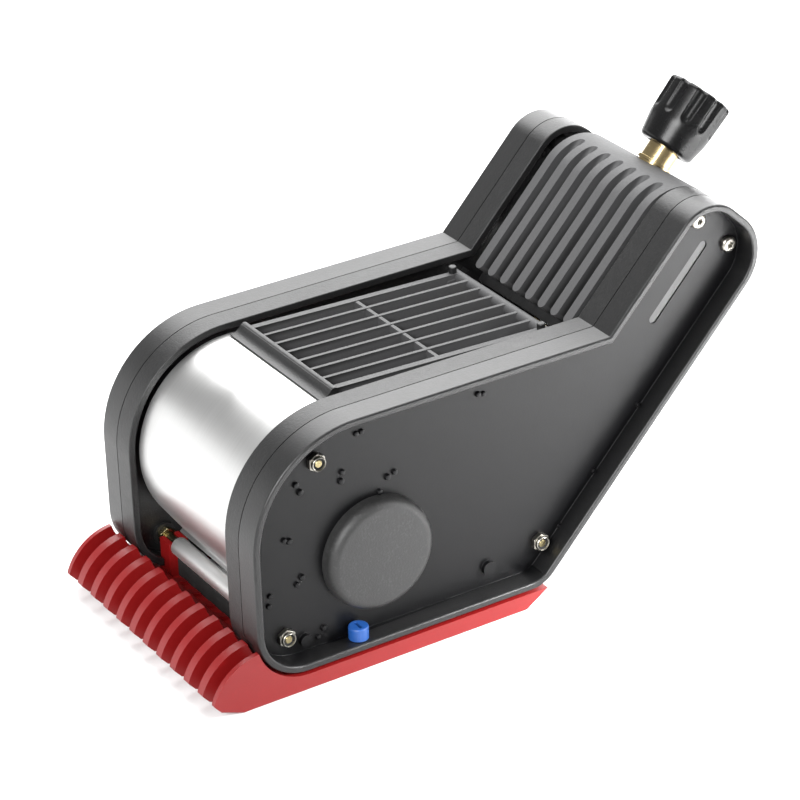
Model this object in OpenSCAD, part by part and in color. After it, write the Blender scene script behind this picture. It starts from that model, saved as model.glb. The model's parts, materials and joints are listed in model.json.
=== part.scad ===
// Hand-guided gum removal head for a hot-water pressure lance.
// X runs across the head, Y from the finned shoe back to the hose end, Z up from the ground.

/* [Side profile] */
// Height of the top rail above the ground
rail_h = 127.5; // [118:0.5:138]
// Length from the valley between rail and tower forward to the front face
front_len = 190; // [182:1:204]
// Radius of the large front top corner
front_r = 54; // [50:0.5:57]
// Radius of the front bottom corner
nose_r = 25; // [20:0.5:28]
// Radius of the rear bottom corner
heel_r = 17; // [12:0.5:20]
// Slope of the tower above the ground
tower_angle = 47; // [44:0.5:50]
// Depth of the tower between its front and back slopes
tower_w = 54; // [52:0.5:60]
// Length of the tower up its front slope from the valley
tower_len = 80; // [76:0.5:90]
// Radius of the tower's front top corner
tower_front_r = 20; // [14:0.5:22]
// Radius of the tower's rear top corner
tower_rear_r = 24; // [18:0.5:26]

/* [Side walls] */
// Width over both side covers
body_w = 140; // [134:1:160]
// Depth of the outer cover from the parting line to its lip
cover_depth = 13.5; // [11:0.25:15]
// Depth of the inner frame from the parting line to its lip
frame_depth = 12.25; // [11:0.25:14]
// Wall of the rims
rim_t = 3.5; // [2.5:0.25:4.5]
// Floor of the outer cover
cover_floor = 2; // [1.6:0.1:2.6]
// Floor of the inner frame
frame_floor = 2.5; // [2:0.1:3]
// Width of the fine groove along the parting line
seam_w = 0.5; // [0.3:0.1:0.8]
// Depth of the fine groove along the parting line
seam_depth = 0.5; // [0.3:0.1:0.8]

/* [Round side caps] */
// Diameter of a round side cap
cap_d = 55; // [50:0.5:60]
// Height of a side cap above the cover's floor
cap_h = 8.5; // [6:0.25:10]
// Edge radius of a side cap
cap_edge_r = 4.5; // [2.5:0.25:5]
// Diameter of the opening that a side cap closes
cap_hole_d = 45; // [40:0.5:48]
// Distance of the cap's centre behind the front face
cap_back = 68; // [64:0.5:74]
// Height of the cap's centre above the ground
cap_up = 52; // [48:0.5:58]

/* [Hood] */
// Gap from the front rim in to the hood
hood_inset = 4.5; // [4:0.25:7]
// Sheet thickness of the hood
hood_t = 1.2; // [0.8:0.1:1.6]
// Angle where the hood ends under the grate, from the rear horizontal
hood_top_angle = 79; // [74:1:82]
// Angle where the hood's curve turns into its straight lower part
hood_turn_angle = 215; // [213:0.5:220]
// Height of the hood's lower edge above the front roller
hood_lip_rise = 0.9; // [0.6:0.1:3]
// Width of the folded lower lip
hood_lip = 2; // [1.5:0.25:2.5]
// Gap between the hood's ends and the frames
hood_end_gap = 1.25; // [0.8:0.05:2]

/* [Grate] */
// Number of slats and of ribs
slat_n = 8; // [6:2:8]
// Thickness of a slat
slat_t = 2; // [1.4:0.1:3]
// Depth of a slat
slat_depth = 9; // [7:0.25:11]
// Thickness of the two outer slats
outer_slat_t = 3.6; // [2.8:0.1:4.4]
// Diameter of the rear bar
rear_bar_d = 5.5; // [4.5:0.25:6.5]
// Distance of the rear bar in front of the valley
rear_bar_front = 13; // [11:0.5:16]
// Drop of the rear bar's top below the rail
rear_bar_drop = 4.4; // [3.5:0.1:6]
// Gap on each side between grate and frames
grate_gap = 4.25; // [3:0.25:5]
// Diameter of a grate peg
peg_d = 4; // [3:0.25:5]

/* [Ribbed cover] */
// Width of a rib
rib_w = 5.2; // [4.4:0.1:6]
// Depth of the grooves between the ribs
groove_depth = 7; // [5:0.25:8]
// How far the ribs lie below the tower's front slope
rib_drop = 2.5; // [1.5:0.25:4]
// How far the ribs reach below the valley, along the slope
rib_foot = 5.6; // [4:0.2:7]
// Height of the crest above the tower's end
crest_rise = 1; // [0:0.25:2]
// Wall of the ribbed cover
shell_t = 2.5; // [2:0.1:3]

/* [Shoe] */
// Thickness of the shoe under the side covers
shoe_h = 9; // [8:0.25:12]
// Reveal between the shoe and the side covers
shoe_reveal = 1.2; // [0.6:0.1:1.6]
// Reach of the fins in front of the front face
fin_reach = 24; // [21:0.5:26]
// Radius of the fins' curved front edges
fin_r = 27.6; // [26:0.2:30]
// Number of fins
fin_n = 12; // [8:1:14]
// Thickness of an inner fin
fin_t = 4.8; // [3.6:0.1:6]
// Thickness of the two outer fins
outer_fin_t = 2.4; // [1.8:0.1:3.6]
// Depth of the gaps between the fins
fin_depth = 12; // [8:0.5:14]
// Height of the fins' lower tips above the ground
fin_tip_h = 8; // [6:0.25:10]
// Length of the bevel under the fins
fin_bevel = 14.7; // [12:0.1:18]
// Width of the shoe's side rails
shoe_rail_w = 15.5; // [14:0.5:17]

/* [Front roller] */
// Diameter of the roller tube
roller_d = 9; // [7.5:0.25:9.5]
// Distance of the roller's axis behind the front face
roller_back = 19.8; // [18:0.2:22]
// Height of the roller's axis above the ground
roller_up = 23.2; // [21:0.1:25]
// Gap between each roller end and the frame's lip
roller_end_gap = 5.25; // [4:0.25:7]
// Width of a saddle lug beside the roller
lug_w = 9; // [5:0.25:9.5]

/* [Inlet and union nut] */
// Diameter of the brass nipple
nipple_d = 16; // [14:0.25:17]
// Water bore of the nipple
nipple_bore = 8; // [6:0.25:9]
// Length of nipple that shows between cover and nut
nipple_show = 9.3; // [8:0.1:14]
// Bore of the union thread, inside its crests
thread_bore = 16.6; // [16:0.1:17]
// Length of the union thread
thread_len = 13.5; // [10:0.5:16]
// Length of the union nut
nut_len = 32; // [28:0.5:36]
// Diameter of the nut's narrow end
nut_small_d = 27.5; // [26.5:0.1:29]
// Diameter of the nut's shoulder
nut_mid_d = 31.6; // [30:0.1:32.4]
// Diameter of the nut's wide end
nut_big_d = 32.7; // [32:0.1:36]
// Number of flutes around the nut
flute_n = 10; // [8:1:12]
// Radius of a flute
flute_r = 3.6; // [3:0.1:4.2]
// Depth of a flute at the wide end
flute_depth = 1.5; // [1:0.1:2]
// Outer diameter of the nut's threaded core
core_d = 23; // [21:0.25:24]

/* [Water path] */
// Outer diameter of the feed pipe
pipe_d = 10; // [9:0.25:11]
// Wall of the feed pipe
pipe_t = 1.5; // [1:0.1:2]
// Diameter of the nozzle block
block_d = 34; // [28:0.5:36]
// Length of the nozzle block
block_len = 22; // [18:0.5:28]
// How far the block's top lies below the valley, along the tower's axis
block_down = 10; // [8:0.5:14]
// Diameter of the nozzle
nozzle_d = 12; // [10:0.25:14]
// Length of the nozzle that shows below its block
nozzle_len = 12; // [9:0.5:15]
// Thickness of the bracket that carries the block
bracket_t = 3; // [2:0.25:4]

/* [Fasteners] */
// Diameter of the tie bolts
bolt_d = 5; // [4:0.25:6]
// Distance of the upper tie bolt behind the front face
upper_bolt_back = 39; // [36:0.5:44]
// Drop of the upper tie bolt below the rail
upper_bolt_drop = 20.9; // [19:0.1:26]
// Distance of the rear tie bolt behind the heel
rear_bolt_back = 3.8; // [3:0.1:5]
// Height of the rear tie bolt above the covers' foot
rear_bolt_up = 17.6; // [15:0.1:20]
// Outer diameter of the spacer tubes
spacer_d = 9; // [8:0.25:10]
// Diameter of the tower screws
screw_d = 4; // [3:0.25:4.5]
// Distance of the tower screws below the tower's end
screw_down = 13; // [11:0.5:16]
// Distance between the two tower screws of a side
screw_gap = 24.4; // [20:0.2:26]
// Length of the tower screws
screw_len = 16; // [12:0.5:20]
// Head diameter of the tower screws
screw_head_d = 8; // [7:0.25:9]
// Head diameter of the blue shoe studs
stud_head_d = 9.4; // [8:0.2:10]
// Head height of the blue shoe studs
stud_head_h = 6.4; // [5:0.2:8]
// Distance of the blue shoe studs behind the front face
stud_back = 55; // [50:0.5:60]
// Shank diameter of the blue shoe studs
stud_d = 5; // [4:0.25:5.5]
// Width of the long side inlays
inlay_w = 4.2; // [3:0.1:5]
// Length of the long side inlays
inlay_len = 45; // [36:0.5:50]

/* [Clearances] */
// Radial clearance of a turning fit
run_fit = 0.08; // [0.05:0.01:0.1]
// Clearance between pieces that slide together
seat_fit = 0.15; // [0.1:0.01:0.25]
// Clearance around bolts and screws in their holes
hole_fit = 0.2; // [0.1:0.05:0.4]
// Gap between faces that turn past each other
face_gap = 0.3; // [0.25:0.05:0.5]

/* [Hidden] */
$fn = 64;
over = 1;
long = 400;

// Side walls, from the middle outwards
outer_x = body_w / 2;
part_x = outer_x - cover_depth;
inner_x = part_x - frame_depth;
frame_face_x = part_x - frame_floor;
cover_face_x = part_x + cover_floor;
base_z = shoe_h;

// Tower axis, which the inlet and the water path share
axis_n = tower_w / 2;
crest_s = tower_len + crest_rise;
crest_r = axis_n - rib_drop;
crest_mid_s = crest_s - crest_r;
crest_t = 3;
crest_inner_r = crest_r - crest_t;
nut_s = crest_s + nipple_show;
nut_end_s = nut_s + nut_len;

// Reach in front of and behind the valley; the origin lies halfway
front_reach = front_len + fin_reach;
nut_lip = 1.2;
rear_reach = (nut_end_s - nut_lip) * cos(tower_angle) + (axis_n + nut_big_d / 2) * sin(tower_angle);
valley_y = (front_reach - rear_reach) / 2;
front_y = valley_y - front_len;

// Hood circle, on the centre of the large front corner
hood_y = front_y + front_r;
hood_z = rail_h - front_r;
hood_r = front_r - hood_inset;
hood_x = inner_x - hood_end_gap;
hood_end_z = roller_up + roller_d / 2 + hood_lip_rise;
hood_run = (hood_z + hood_r * sin(hood_turn_angle) - hood_end_z) / -cos(hood_turn_angle);
hood_plate = 1.5;
hood_pin_d = 5;
hood_pin_angle = 214;
hood_pin_r = hood_r - 10;

// Tie bolts: upper front, lower front through the roller, lower rear
bolt_a = [front_y + upper_bolt_back, rail_h - upper_bolt_drop];
bolt_b = [front_y + roller_back, roller_up];
heel_y = valley_y + (tower_w - (rail_h - base_z) * cos(tower_angle)) / sin(tower_angle);
bolt_c = [heel_y + rear_bolt_back, base_z + rear_bolt_up];
bolts = [bolt_a, bolt_b, bolt_c];
bolt_head_d = 1.7 * bolt_d;
bolt_head_h = bolt_d;
nut_af = 1.6 * bolt_d;
socket_af = 0.8 * bolt_d;
locknut_h = 0.88 * bolt_d;
locknut_ring_d = nut_af - 0.7;
locknut_ring_h = 1.6;
locknut_eye_d = 0.84 * locknut_ring_d;
locknut_eye = 1;
bolt_tip_in = 0.4;
roller_nut_t = 2.7;
boss_h = 2;
boss_d = spacer_d + 3;

// Low round bosses on the covers' recessed panels: diameter and place
panel_boss_h = 2.2;
panel_bosses = [[7, [heel_y - 24.6, base_z + 13]], [6, [front_y + 29.8, base_z + 9.2]]];

// Grate; its slats and the ribs above them share one pitch
grate_x = inner_x - grate_gap;
pitch = 2 * (grate_x - outer_slat_t) / (slat_n - 1);
rear_bar_y = valley_y - rear_bar_front;
rear_bar_z = rail_h - rear_bar_drop - rear_bar_d / 2;
ridge_r = 2;
ridge_back = 7.6;
ridge_rise = 0.5;
ridge_y = hood_y + ridge_back;
ridge_z = rail_h + ridge_rise - ridge_r;
bar_foot_z = hood_z + hood_r + face_gap;
bar_toe = 7.7;
bar_toe_t = 0.6;
bar_hollow_r = 7;
hood_end_y = hood_y + hood_r * cos(hood_top_angle);
cross_bar_t = 2;
cross_bar_h = 4.6;
cross_bar_drop = 0.4;
slat_drop = 1;
slat_sink = 0.4;
ear_w = 6;
ear_len = 9;
ear_h = 4.5;
ear_z = rear_bar_z - rear_bar_d / 2 - ear_h;
ear_x = grate_x - ear_w;
peg_x = grate_x - ear_w / 2;
peg_front = 2.6;
peg_y = rear_bar_y - peg_front;
peg_rise = 3;
ledge_t = 3;
peg_foot = 5;

// Ribbed cover
rib_floor_n = rib_drop + groove_depth;
rib_end_x = (slat_n - 1) / 2 * pitch + rib_w / 2;
groove_w = pitch - rib_w;
rib_toe = 4.4;
foot_s = rib_foot + rib_toe;
front_wall_t = shell_t + 2;
rear_edge_s = 18;
tower_screw_s = tower_len - screw_down;
tower_screw_n = [axis_n - screw_gap / 2, axis_n + screw_gap / 2];
screw_boss_d = screw_d + 5;
screw_head_h = 2.6;
screw_edge_r = 1.6;
lobe_depth = 1.4;
lobe_d = 1.1;
lobe_r = 1.15;
recess_d = 2.5;

// Back panel
panel_t = 3;
panel_n = tower_w - rim_t - seat_fit;
panel_gap = 1.5;
panel_top_s = rear_edge_s - 2 * panel_gap;
bolt_c_s = (bolt_c[0] - valley_y) * cos(tower_angle) + (bolt_c[1] - rail_h) * sin(tower_angle);
panel_foot_s = bolt_c_s + spacer_d / 2 + panel_gap;
panel_x = frame_face_x - seat_fit;
guide_t = 2.4;
guide_h = 7;

// Water path along the tower's axis
collar_d = thread_bore - 2 * face_gap;
collar_in = 5;
collar_s = nut_s + collar_in;
collar_len = 4;
neck_d = 13;
neck_in = 1.5;
nose_d = 11.6;
nose_len = 6;
nipple_foot = 6;
nipple_foot_s = crest_mid_s + nipple_foot;
socket_len = 8;
flange_d = nipple_d + 1.8;
flange_t = 1.4;
jam_af = nipple_d + 6;
jam_t = 5;
jam_pad_d = jam_af / cos(30) + 3;
jam_pad_h = 0.8;
jam_seat_s = crest_mid_s + sqrt(crest_inner_r ^ 2 - (jam_pad_d / 2) ^ 2) - jam_pad_h;
thread_relief = 0.4;
core_in = 2;
core_foot_s = nut_s + core_in;
core_end_s = nut_end_s - core_in;
core_lip = 1.5;
nut_edge = 0.8;
nut_bore_r = nipple_d / 2 + 1;
nut_mid = 0.37 * nut_len;
flute_foot = 0.45 * nut_len;
flute_turn = -5;
o_ring_d = 1.8;
o_ring_squeeze = 0.1;
block_s = -block_down;
bracket_down = 1;
bracket_s = block_s - bracket_down;
block_neck_d = 18;
block_neck = 5;
bracket_front_n = axis_n - block_d / 2;
bracket_w = panel_n - panel_t - 2 * seat_fit - guide_t - bracket_front_n;
nozzle_bore = 1.2;
nozzle_feed_d = 4;
nozzle_root_d = nozzle_d - 2;
nozzle_root = 8;
mouth_w = 1.2;
mouth_depth = 1.8;
pipe_foot = 10;
bracket_x = frame_face_x - seat_fit;
slot_h = 5;

// Shoe
fin_back = 2;
fin_y = front_y + fin_back;
fin_z = -0.5;
tip_y = front_y - fin_reach;
fin_chin = 3.3;
fin_chin_z = 4.2;
nose_y = front_y + nose_r;
nose_z = base_z + nose_r;
shoe_proud = 0.3;
shoe_x = outer_x + shoe_proud;
shoe_top = shoe_h - shoe_reveal;
front_bar_back = 9;
front_bar_end = bolt_b[0] + front_bar_back;
shoe_bevel = 12;
shoe_over = 1;
shoe_tip_y = heel_y + shoe_over;
shoe_rear_y = shoe_tip_y - shoe_bevel;
rear_bar_w = 16;
pad_len = 16;
pad_gap = 4;
pad_x = [part_x + 1, outer_x - 2.5];
lug_x = inner_x - roller_end_gap + face_gap;
lug_rise = 2;
lug_top = roller_up + lug_rise;
lug_len = 10;
seal_t = 2.5;
seal_h = 9;
stud_in = 0.6;
stud_x = (cover_face_x + outer_x) / 2 - stud_in;
stud_y = front_y + stud_back;
stud_tail = 1.6;
stud_tail_w = 3;
stud_tail_len = 7;
stud_foot = 3;
stud_edge_r = 0.8;
slot_d = 1.6;
slot_t = 1.4;
slot_len = 0.6 * stud_head_d;

// Side inlays on the tower
inlay_t = 1.5;
inlay_s = 39;

BLACK = [0.13, 0.13, 0.135];
RIM = [0.2, 0.2, 0.21];
RED = [0.78, 0.2, 0.22];
STEEL = [0.82, 0.82, 0.83];
BRASS = [0.83, 0.68, 0.36];
GREY = [0.42, 0.42, 0.42];
BLUE = [0.29, 0.53, 0.82];
RUBBER = [0.08, 0.08, 0.085];

// A flat outline in Y and Z, drawn out across the head from x0 to x1
module across(x0, x1) {
  translate([x0, 0, 0])
    rotate([90, 0, 90])
      linear_extrude(x1 - x0)
        children();
}

// A round bar or bore across the head
module bar_x(x0, x1, d, at) {
  translate([x0, at[0], at[1]])
    rotate([0, 90, 0])
      cylinder(d = d, h = x1 - x0);
}

// A hexagonal bar across the head
module hex_x(x0, x1, af, at) {
  translate([x0, at[0], at[1]])
    rotate([0, 90, 0])
      cylinder(d = af / cos(30), h = x1 - x0, $fn = 6);
}

// The tower's own frame: Y up its slope from the valley, Z out of its front slope
module on_tower() {
  translate([0, valley_y, rail_h])
    rotate([tower_angle, 0, 0])
      children();
}

// A round piece on the tower's axis, with its length along the axis
module on_axis(s) {
  on_tower()
    translate([0, s, -axis_n])
      rotate([-90, 0, 0])
        children();
}

// Both sides of the head
module both_sides() {
  children();
  mirror([1, 0, 0])
    children();
}

// What a quarter round of radius r leaves over in its square corner
module corner(r) {
  difference() {
    translate([-over, -over])
      square(r + over);
    translate([r, r])
      circle(r);
  }
}

module tower_flat() {
  translate([valley_y, rail_h])
    rotate(tower_angle)
      children();
}

// Low body with its round front, inset by d, as far back as the tower's middle
module body_outline(d) {
  intersection() {
    difference() {
      translate([front_y + d, base_z + d])
        square([long, rail_h - base_z - 2 * d]);
      translate([front_y + d, rail_h - d])
        mirror([0, 1])
          corner(front_r - d);
      translate([front_y + d, base_z + d])
        corner(nose_r - d);
    }
    tower_flat()
      translate([-long, -axis_n])
        square(2 * long);
  }
}

// Sloping tower with its round end and heel, inset by d
module tower_outline(d) {
  heel = [heel_y - heel_r * tan(tower_angle / 2), base_z + heel_r];
  intersection() {
    difference() {
      tower_flat()
        difference() {
          translate([-long, d - tower_w])
            square([long + tower_len - d, tower_w - 2 * d]);
          translate([tower_len - d, -d])
            rotate(180)
              corner(tower_front_r - d);
          translate([tower_len - d, d - tower_w])
            mirror([1, 0])
              corner(tower_rear_r - d);
        }
      difference() {
        translate([heel[0], base_z - over])
          square([heel_r, heel_r * (1 - cos(tower_angle)) + over]);
        translate(heel)
          circle(heel_r - d);
      }
    }
    translate([-long, base_z + d])
      square(2 * long);
  }
}

// Side outline of the head, inset by d
module side_outline(d) {
  body_outline(d);
  tower_outline(d);
}

// Inner half of a side wall: a tray that opens inwards, with its seats and guides
module side_frame() {
  difference() {
    union() {
      difference() {
        across(inner_x, part_x)
          side_outline(0);
        across(inner_x - over, frame_face_x)
          side_outline(rim_t);
      }
      for (b = bolts)
        bar_x(frame_face_x - boss_h, frame_face_x + over, boss_d, b);
      bar_x(hood_x - hood_plate - over, frame_face_x + over, hood_pin_d, hood_pin());
      grate_ledge();
      frame_guides();
    }
    across(part_x - seam_w, part_x + over)
      difference() {
        side_outline(-over);
        side_outline(seam_depth);
      }
    lug_notch();
    for (b = bolts)
      bar_x(frame_face_x - boss_h - over, part_x + over, bolt_d + 2 * hole_fit, b);
    bar_x(frame_face_x - over, part_x + over, cap_hole_d, [front_y + cap_back, cap_up]);
    tower_holes(frame_face_x - over, part_x + over);
    peg_holes();
  }
}

// Notch in the rim's foot that lets a saddle lug of the shoe pass
module lug_notch() {
  across(inner_x - over, lug_x + lug_w + face_gap)
    translate([bolt_b[0] - lug_len / 2 - face_gap, base_z - over])
      square([lug_len + 2 * face_gap, roller_up - base_z + over]);
}

function hood_pin() = [hood_y + hood_pin_r * cos(hood_pin_angle), hood_z + hood_pin_r * sin(hood_pin_angle)];

// Ledge that carries a rear ear of the grate
module grate_ledge() {
  translate([ear_x, peg_y - ear_len / 2, ear_z - ledge_t])
    cube([frame_face_x + over - ear_x, ear_len, ledge_t]);
}

module peg_holes() {
  translate([peg_x, peg_y, ear_z - peg_foot - over])
    cylinder(d = peg_d + 2 * seat_fit, h = peg_foot + 2 * over);
}

// Guide ribs that hold the back panel and the nozzle bracket by their ends
module frame_guides() {
  on_tower() {
    translate([frame_face_x - guide_h, panel_foot_s, -panel_n + panel_t + seat_fit])
      cube([guide_h + over, panel_top_s - panel_foot_s, guide_t]);
    for (s = [bracket_s - bracket_t - seat_fit - guide_t, bracket_s + seat_fit])
      translate([frame_face_x - slot_h, s, -bracket_front_n - bracket_w])
        cube([slot_h + over, guide_t, bracket_w]);
  }
}

module tower_holes(x0, x1) {
  on_tower()
    for (n = tower_screw_n)
      bar_x(x0, x1, screw_d + 2 * hole_fit, [tower_screw_s, -n]);
}

// Outer half of a side wall: a tray that opens outwards
module side_cover() {
  for (b = panel_bosses)
    bar_x(cover_face_x, cover_face_x + panel_boss_h, b[0], b[1]);
  difference() {
    across(part_x, outer_x)
      side_outline(0);
    across(cover_face_x, outer_x + over)
      side_outline(rim_t);
    for (b = bolts)
      bar_x(part_x - over, cover_face_x + over, bolt_d + 2 * hole_fit, b);
    bar_x(part_x - over, cover_face_x + over, cap_hole_d, [front_y + cap_back, cap_up]);
    tower_holes(part_x - over, cover_face_x + over);
    inlay_shape(part_x - over, cover_face_x + over, 2 * seat_fit);
    translate([stud_x, stud_y, base_z - over])
      cylinder(d = stud_d + 2 * run_fit, h = rim_t + 2 * over);
  }
}

// Long round-ended shape on the tower's middle line, grown by g in width
module inlay_shape(x0, x1, g) {
  run = inlay_len - inlay_w;
  on_tower()
    across(x0, x1)
      translate([inlay_s - run / 2, -axis_n]) {
        translate([0, -(inlay_w + g) / 2])
          square([run, inlay_w + g]);
        for (s = [0, run])
          translate([s, 0])
            circle(d = inlay_w + g);
      }
}

module side_inlays() {
  color(STEEL)
    both_sides()
      inlay_shape(part_x, part_x + inlay_t, 0);
}

// Round cap with a soft edge and a plug that closes the side opening
module side_cap() {
  r = cap_d / 2;
  plug_r = cap_hole_d / 2 - seat_fit;
  depth = cover_floor + frame_floor;
  translate([cover_face_x, front_y + cap_back, cap_up])
    rotate([0, 90, 0])
      rotate_extrude() {
        difference() {
          square([r, cap_h]);
          translate([r, cap_h])
            rotate(180)
              corner(cap_edge_r);
        }
        translate([0, -depth])
          square([plug_r, depth]);
      }
}

// Curved sheet hood with a straight lower part, a folded lip and two end plates
module hood() {
  color(STEEL)
    difference() {
      union() {
        across(-hood_x, hood_x)
          hood_sheet();
        both_sides()
          across(hood_x - hood_plate, hood_x)
            hood_plate_outline();
      }
      bar_x(-hood_x - over, hood_x + over, bolt_d + 2 * hole_fit, bolt_a);
      bar_x(-hood_x - over, hood_x + over, hood_pin_d + 2 * seat_fit, hood_pin());
    }
}

// The front sector of the hood's circle, from its upper end to the turn
module hood_front() {
  top = 3 * hood_r * [cos(hood_top_angle), sin(hood_top_angle)];
  low = 3 * hood_r * [cos(hood_turn_angle), sin(hood_turn_angle)];
  polygon([[0, 0], top, [-3 * hood_r, 3 * hood_r], [-3 * hood_r, -3 * hood_r], low]);
}

module hood_sheet() {
  translate([hood_y, hood_z]) {
    intersection() {
      difference() {
        circle(hood_r, $fn = 128);
        circle(hood_r - hood_t, $fn = 128);
      }
      hood_front();
    }
    rotate(hood_turn_angle) {
      translate([hood_r - hood_t, 0])
        square([hood_t, hood_run]);
      translate([hood_r - hood_t, hood_run - hood_t])
        square([hood_lip + hood_t, hood_t]);
    }
  }
}

module hood_plate_outline() {
  turn = [cos(hood_turn_angle), sin(hood_turn_angle)];
  reach = hood_r - hood_t / 2;
  top = (hood_r - hood_t) * [cos(hood_top_angle), sin(hood_top_angle)];
  low = (hood_r - hood_t) * turn + hood_run * [-turn[1], turn[0]];
  translate([hood_y, hood_z])
    intersection() {
      union() {
        intersection() {
          circle(reach, $fn = 128);
          hood_front();
        }
        rotate(hood_turn_angle)
          square([reach, hood_run]);
      }
      polygon([top, [top[0], 2 * hood_r], [-2 * hood_r, 2 * hood_r], [-2 * hood_r, low[1]], low]);
    }
}

// Open grate: ridged front bar, round rear bar, upright slats and one thin cross bar
module grate() {
  color(BLACK)
    difference() {
      union() {
        across(-grate_x, grate_x)
          front_bar();
        bar_x(-grate_x, grate_x, rear_bar_d, [rear_bar_y, rear_bar_z]);
        for (i = [0 : slat_n - 1])
          slat((i - (slat_n - 1) / 2) * pitch, i == 0 || i == slat_n - 1 ? outer_slat_t : slat_t);
        across(outer_slat_t - grate_x, grate_x - outer_slat_t)
          translate([(ridge_y + rear_bar_y - cross_bar_t) / 2, slat_top(0.5) - cross_bar_drop - cross_bar_h])
            square([cross_bar_t, cross_bar_h]);
        both_sides()
          translate([ear_x, peg_y - ear_len / 2, ear_z])
            cube([grate_x - ear_x, ear_len, ear_h + rear_bar_d / 2]);
      }
      both_sides()
        translate([peg_x, peg_y, ear_z - over])
          cylinder(d = peg_d + 2 * seat_fit, h = long);
    }
}

// Height of the slats' top edge, from 0 at the front bar to 1 at the rear bar
function slat_top(t) = (1 - t) * (rail_h - slat_drop) + t * (rear_bar_z + rear_bar_d / 2 - slat_sink);

// A slat starts on the front bar and gets its full depth behind the hood's edge
module slat(x, t) {
  deep_y = hood_end_y + 3 * face_gap;
  across(x - t / 2, x + t / 2)
    polygon([[ridge_y, slat_top(0)], [rear_bar_y, slat_top(1)], [rear_bar_y, slat_top(1) - rear_bar_d],
             [rear_bar_y - slat_depth, slat_top(0.9) - slat_depth], [deep_y, slat_top(0) - slat_depth],
             [deep_y, bar_foot_z], [ridge_y, bar_foot_z]]);
}

// Front bar: a round ridge with a hollow face that falls forward to the hood
module front_bar() {
  difference() {
    union() {
      translate([ridge_y, ridge_z])
        circle(ridge_r);
      polygon([[ridge_y - bar_toe, bar_foot_z], [ridge_y - ridge_r * cos(45), ridge_z + ridge_r * sin(45)],
               [ridge_y + ridge_r, ridge_z], [ridge_y + ridge_r, bar_foot_z]]);
    }
    translate([ridge_y - bar_toe, bar_foot_z + bar_toe_t + bar_hollow_r])
      circle(bar_hollow_r);
  }
}

// Upright pegs that hold the rear corners of the grate on its ledges
module grate_pegs() {
  color(RIM)
    both_sides()
      translate([peg_x, peg_y, ear_z - peg_foot])
        cylinder(d = peg_d, h = peg_foot + rear_bar_z + rear_bar_d / 2 + peg_rise - ear_z);
}

// Ribbed tower cover: a round-crested shell with grooves that run out on the crest
module ribbed_cover() {
  color(RIM)
    on_tower()
      difference() {
        union() {
          difference() {
            across(-rib_end_x, rib_end_x)
              shell_outline();
            difference() {
              across(-rib_end_x + shell_t, rib_end_x - shell_t)
                shell_room();
              translate([0, jam_seat_s, -axis_n])
                rotate([-90, 0, 0])
                  cylinder(d = jam_pad_d, h = crest_r);
            }
          }
          both_sides()
            for (n = tower_screw_n)
              bar_x(rib_end_x - over, frame_face_x, screw_boss_d, [tower_screw_s, -n]);
        }
        for (i = [1 : slat_n - 1])
          groove((i - slat_n / 2) * pitch);
        rib_ends();
        both_sides()
          for (n = tower_screw_n)
            bar_x(rib_end_x - shell_t - over, frame_face_x + over, screw_d + 2 * run_fit,
                  [tower_screw_s, -n]);
        translate([0, crest_mid_s, -axis_n])
          rotate([-90, 0, 0])
            cylinder(d = nipple_d + 2 * hole_fit, h = 2 * crest_r);
      }
}

module shell_outline() {
  difference() {
    union() {
      translate([-foot_s, rib_drop - tower_w])
        square([foot_s + crest_mid_s, 2 * crest_r]);
      translate([crest_mid_s, -axis_n])
        circle(crest_r, $fn = 128);
    }
    translate([-foot_s - over, -long])
      square([foot_s + over + rear_edge_s, long - rib_floor_n - front_wall_t]);
  }
}

module shell_room() {
  translate([-foot_s - over, -axis_n - crest_inner_r])
    square([foot_s + over + crest_mid_s, crest_inner_r + axis_n - rib_floor_n - shell_t]);
  intersection() {
    translate([crest_mid_s, -axis_n])
      circle(crest_inner_r, $fn = 128);
    translate([0, -long])
      square([long, long - rib_floor_n - shell_t]);
  }
}

// Round-bottomed groove along the slope
module groove(x) {
  run = foot_s + crest_s + 2 * over;
  translate([x, -foot_s - over, groove_w / 2 - rib_floor_n])
    rotate([-90, 0, 0])
      cylinder(d = groove_w, h = run);
  translate([x - groove_w / 2, -foot_s - over, groove_w / 2 - rib_floor_n])
    cube([groove_w, run, long]);
}

// Rounds the lower end of every rib
module rib_ends() {
  mid_s = rib_w / 2 - rib_foot;
  difference() {
    translate([-rib_end_x - over, -foot_s - over, -rib_floor_n])
      cube([2 * (rib_end_x + over), foot_s + over + mid_s, long]);
    for (i = [0 : slat_n - 1])
      translate([(i - (slat_n - 1) / 2) * pitch, mid_s, -rib_floor_n - over])
        cylinder(d = rib_w, h = 2 * long);
  }
}

// Flat wall that closes the back slope between the frames
module back_panel() {
  color(BLACK)
    on_tower()
      translate([-panel_x, panel_foot_s, -panel_n])
        cube([2 * panel_x, panel_top_s - panel_foot_s, panel_t]);
}

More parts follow.
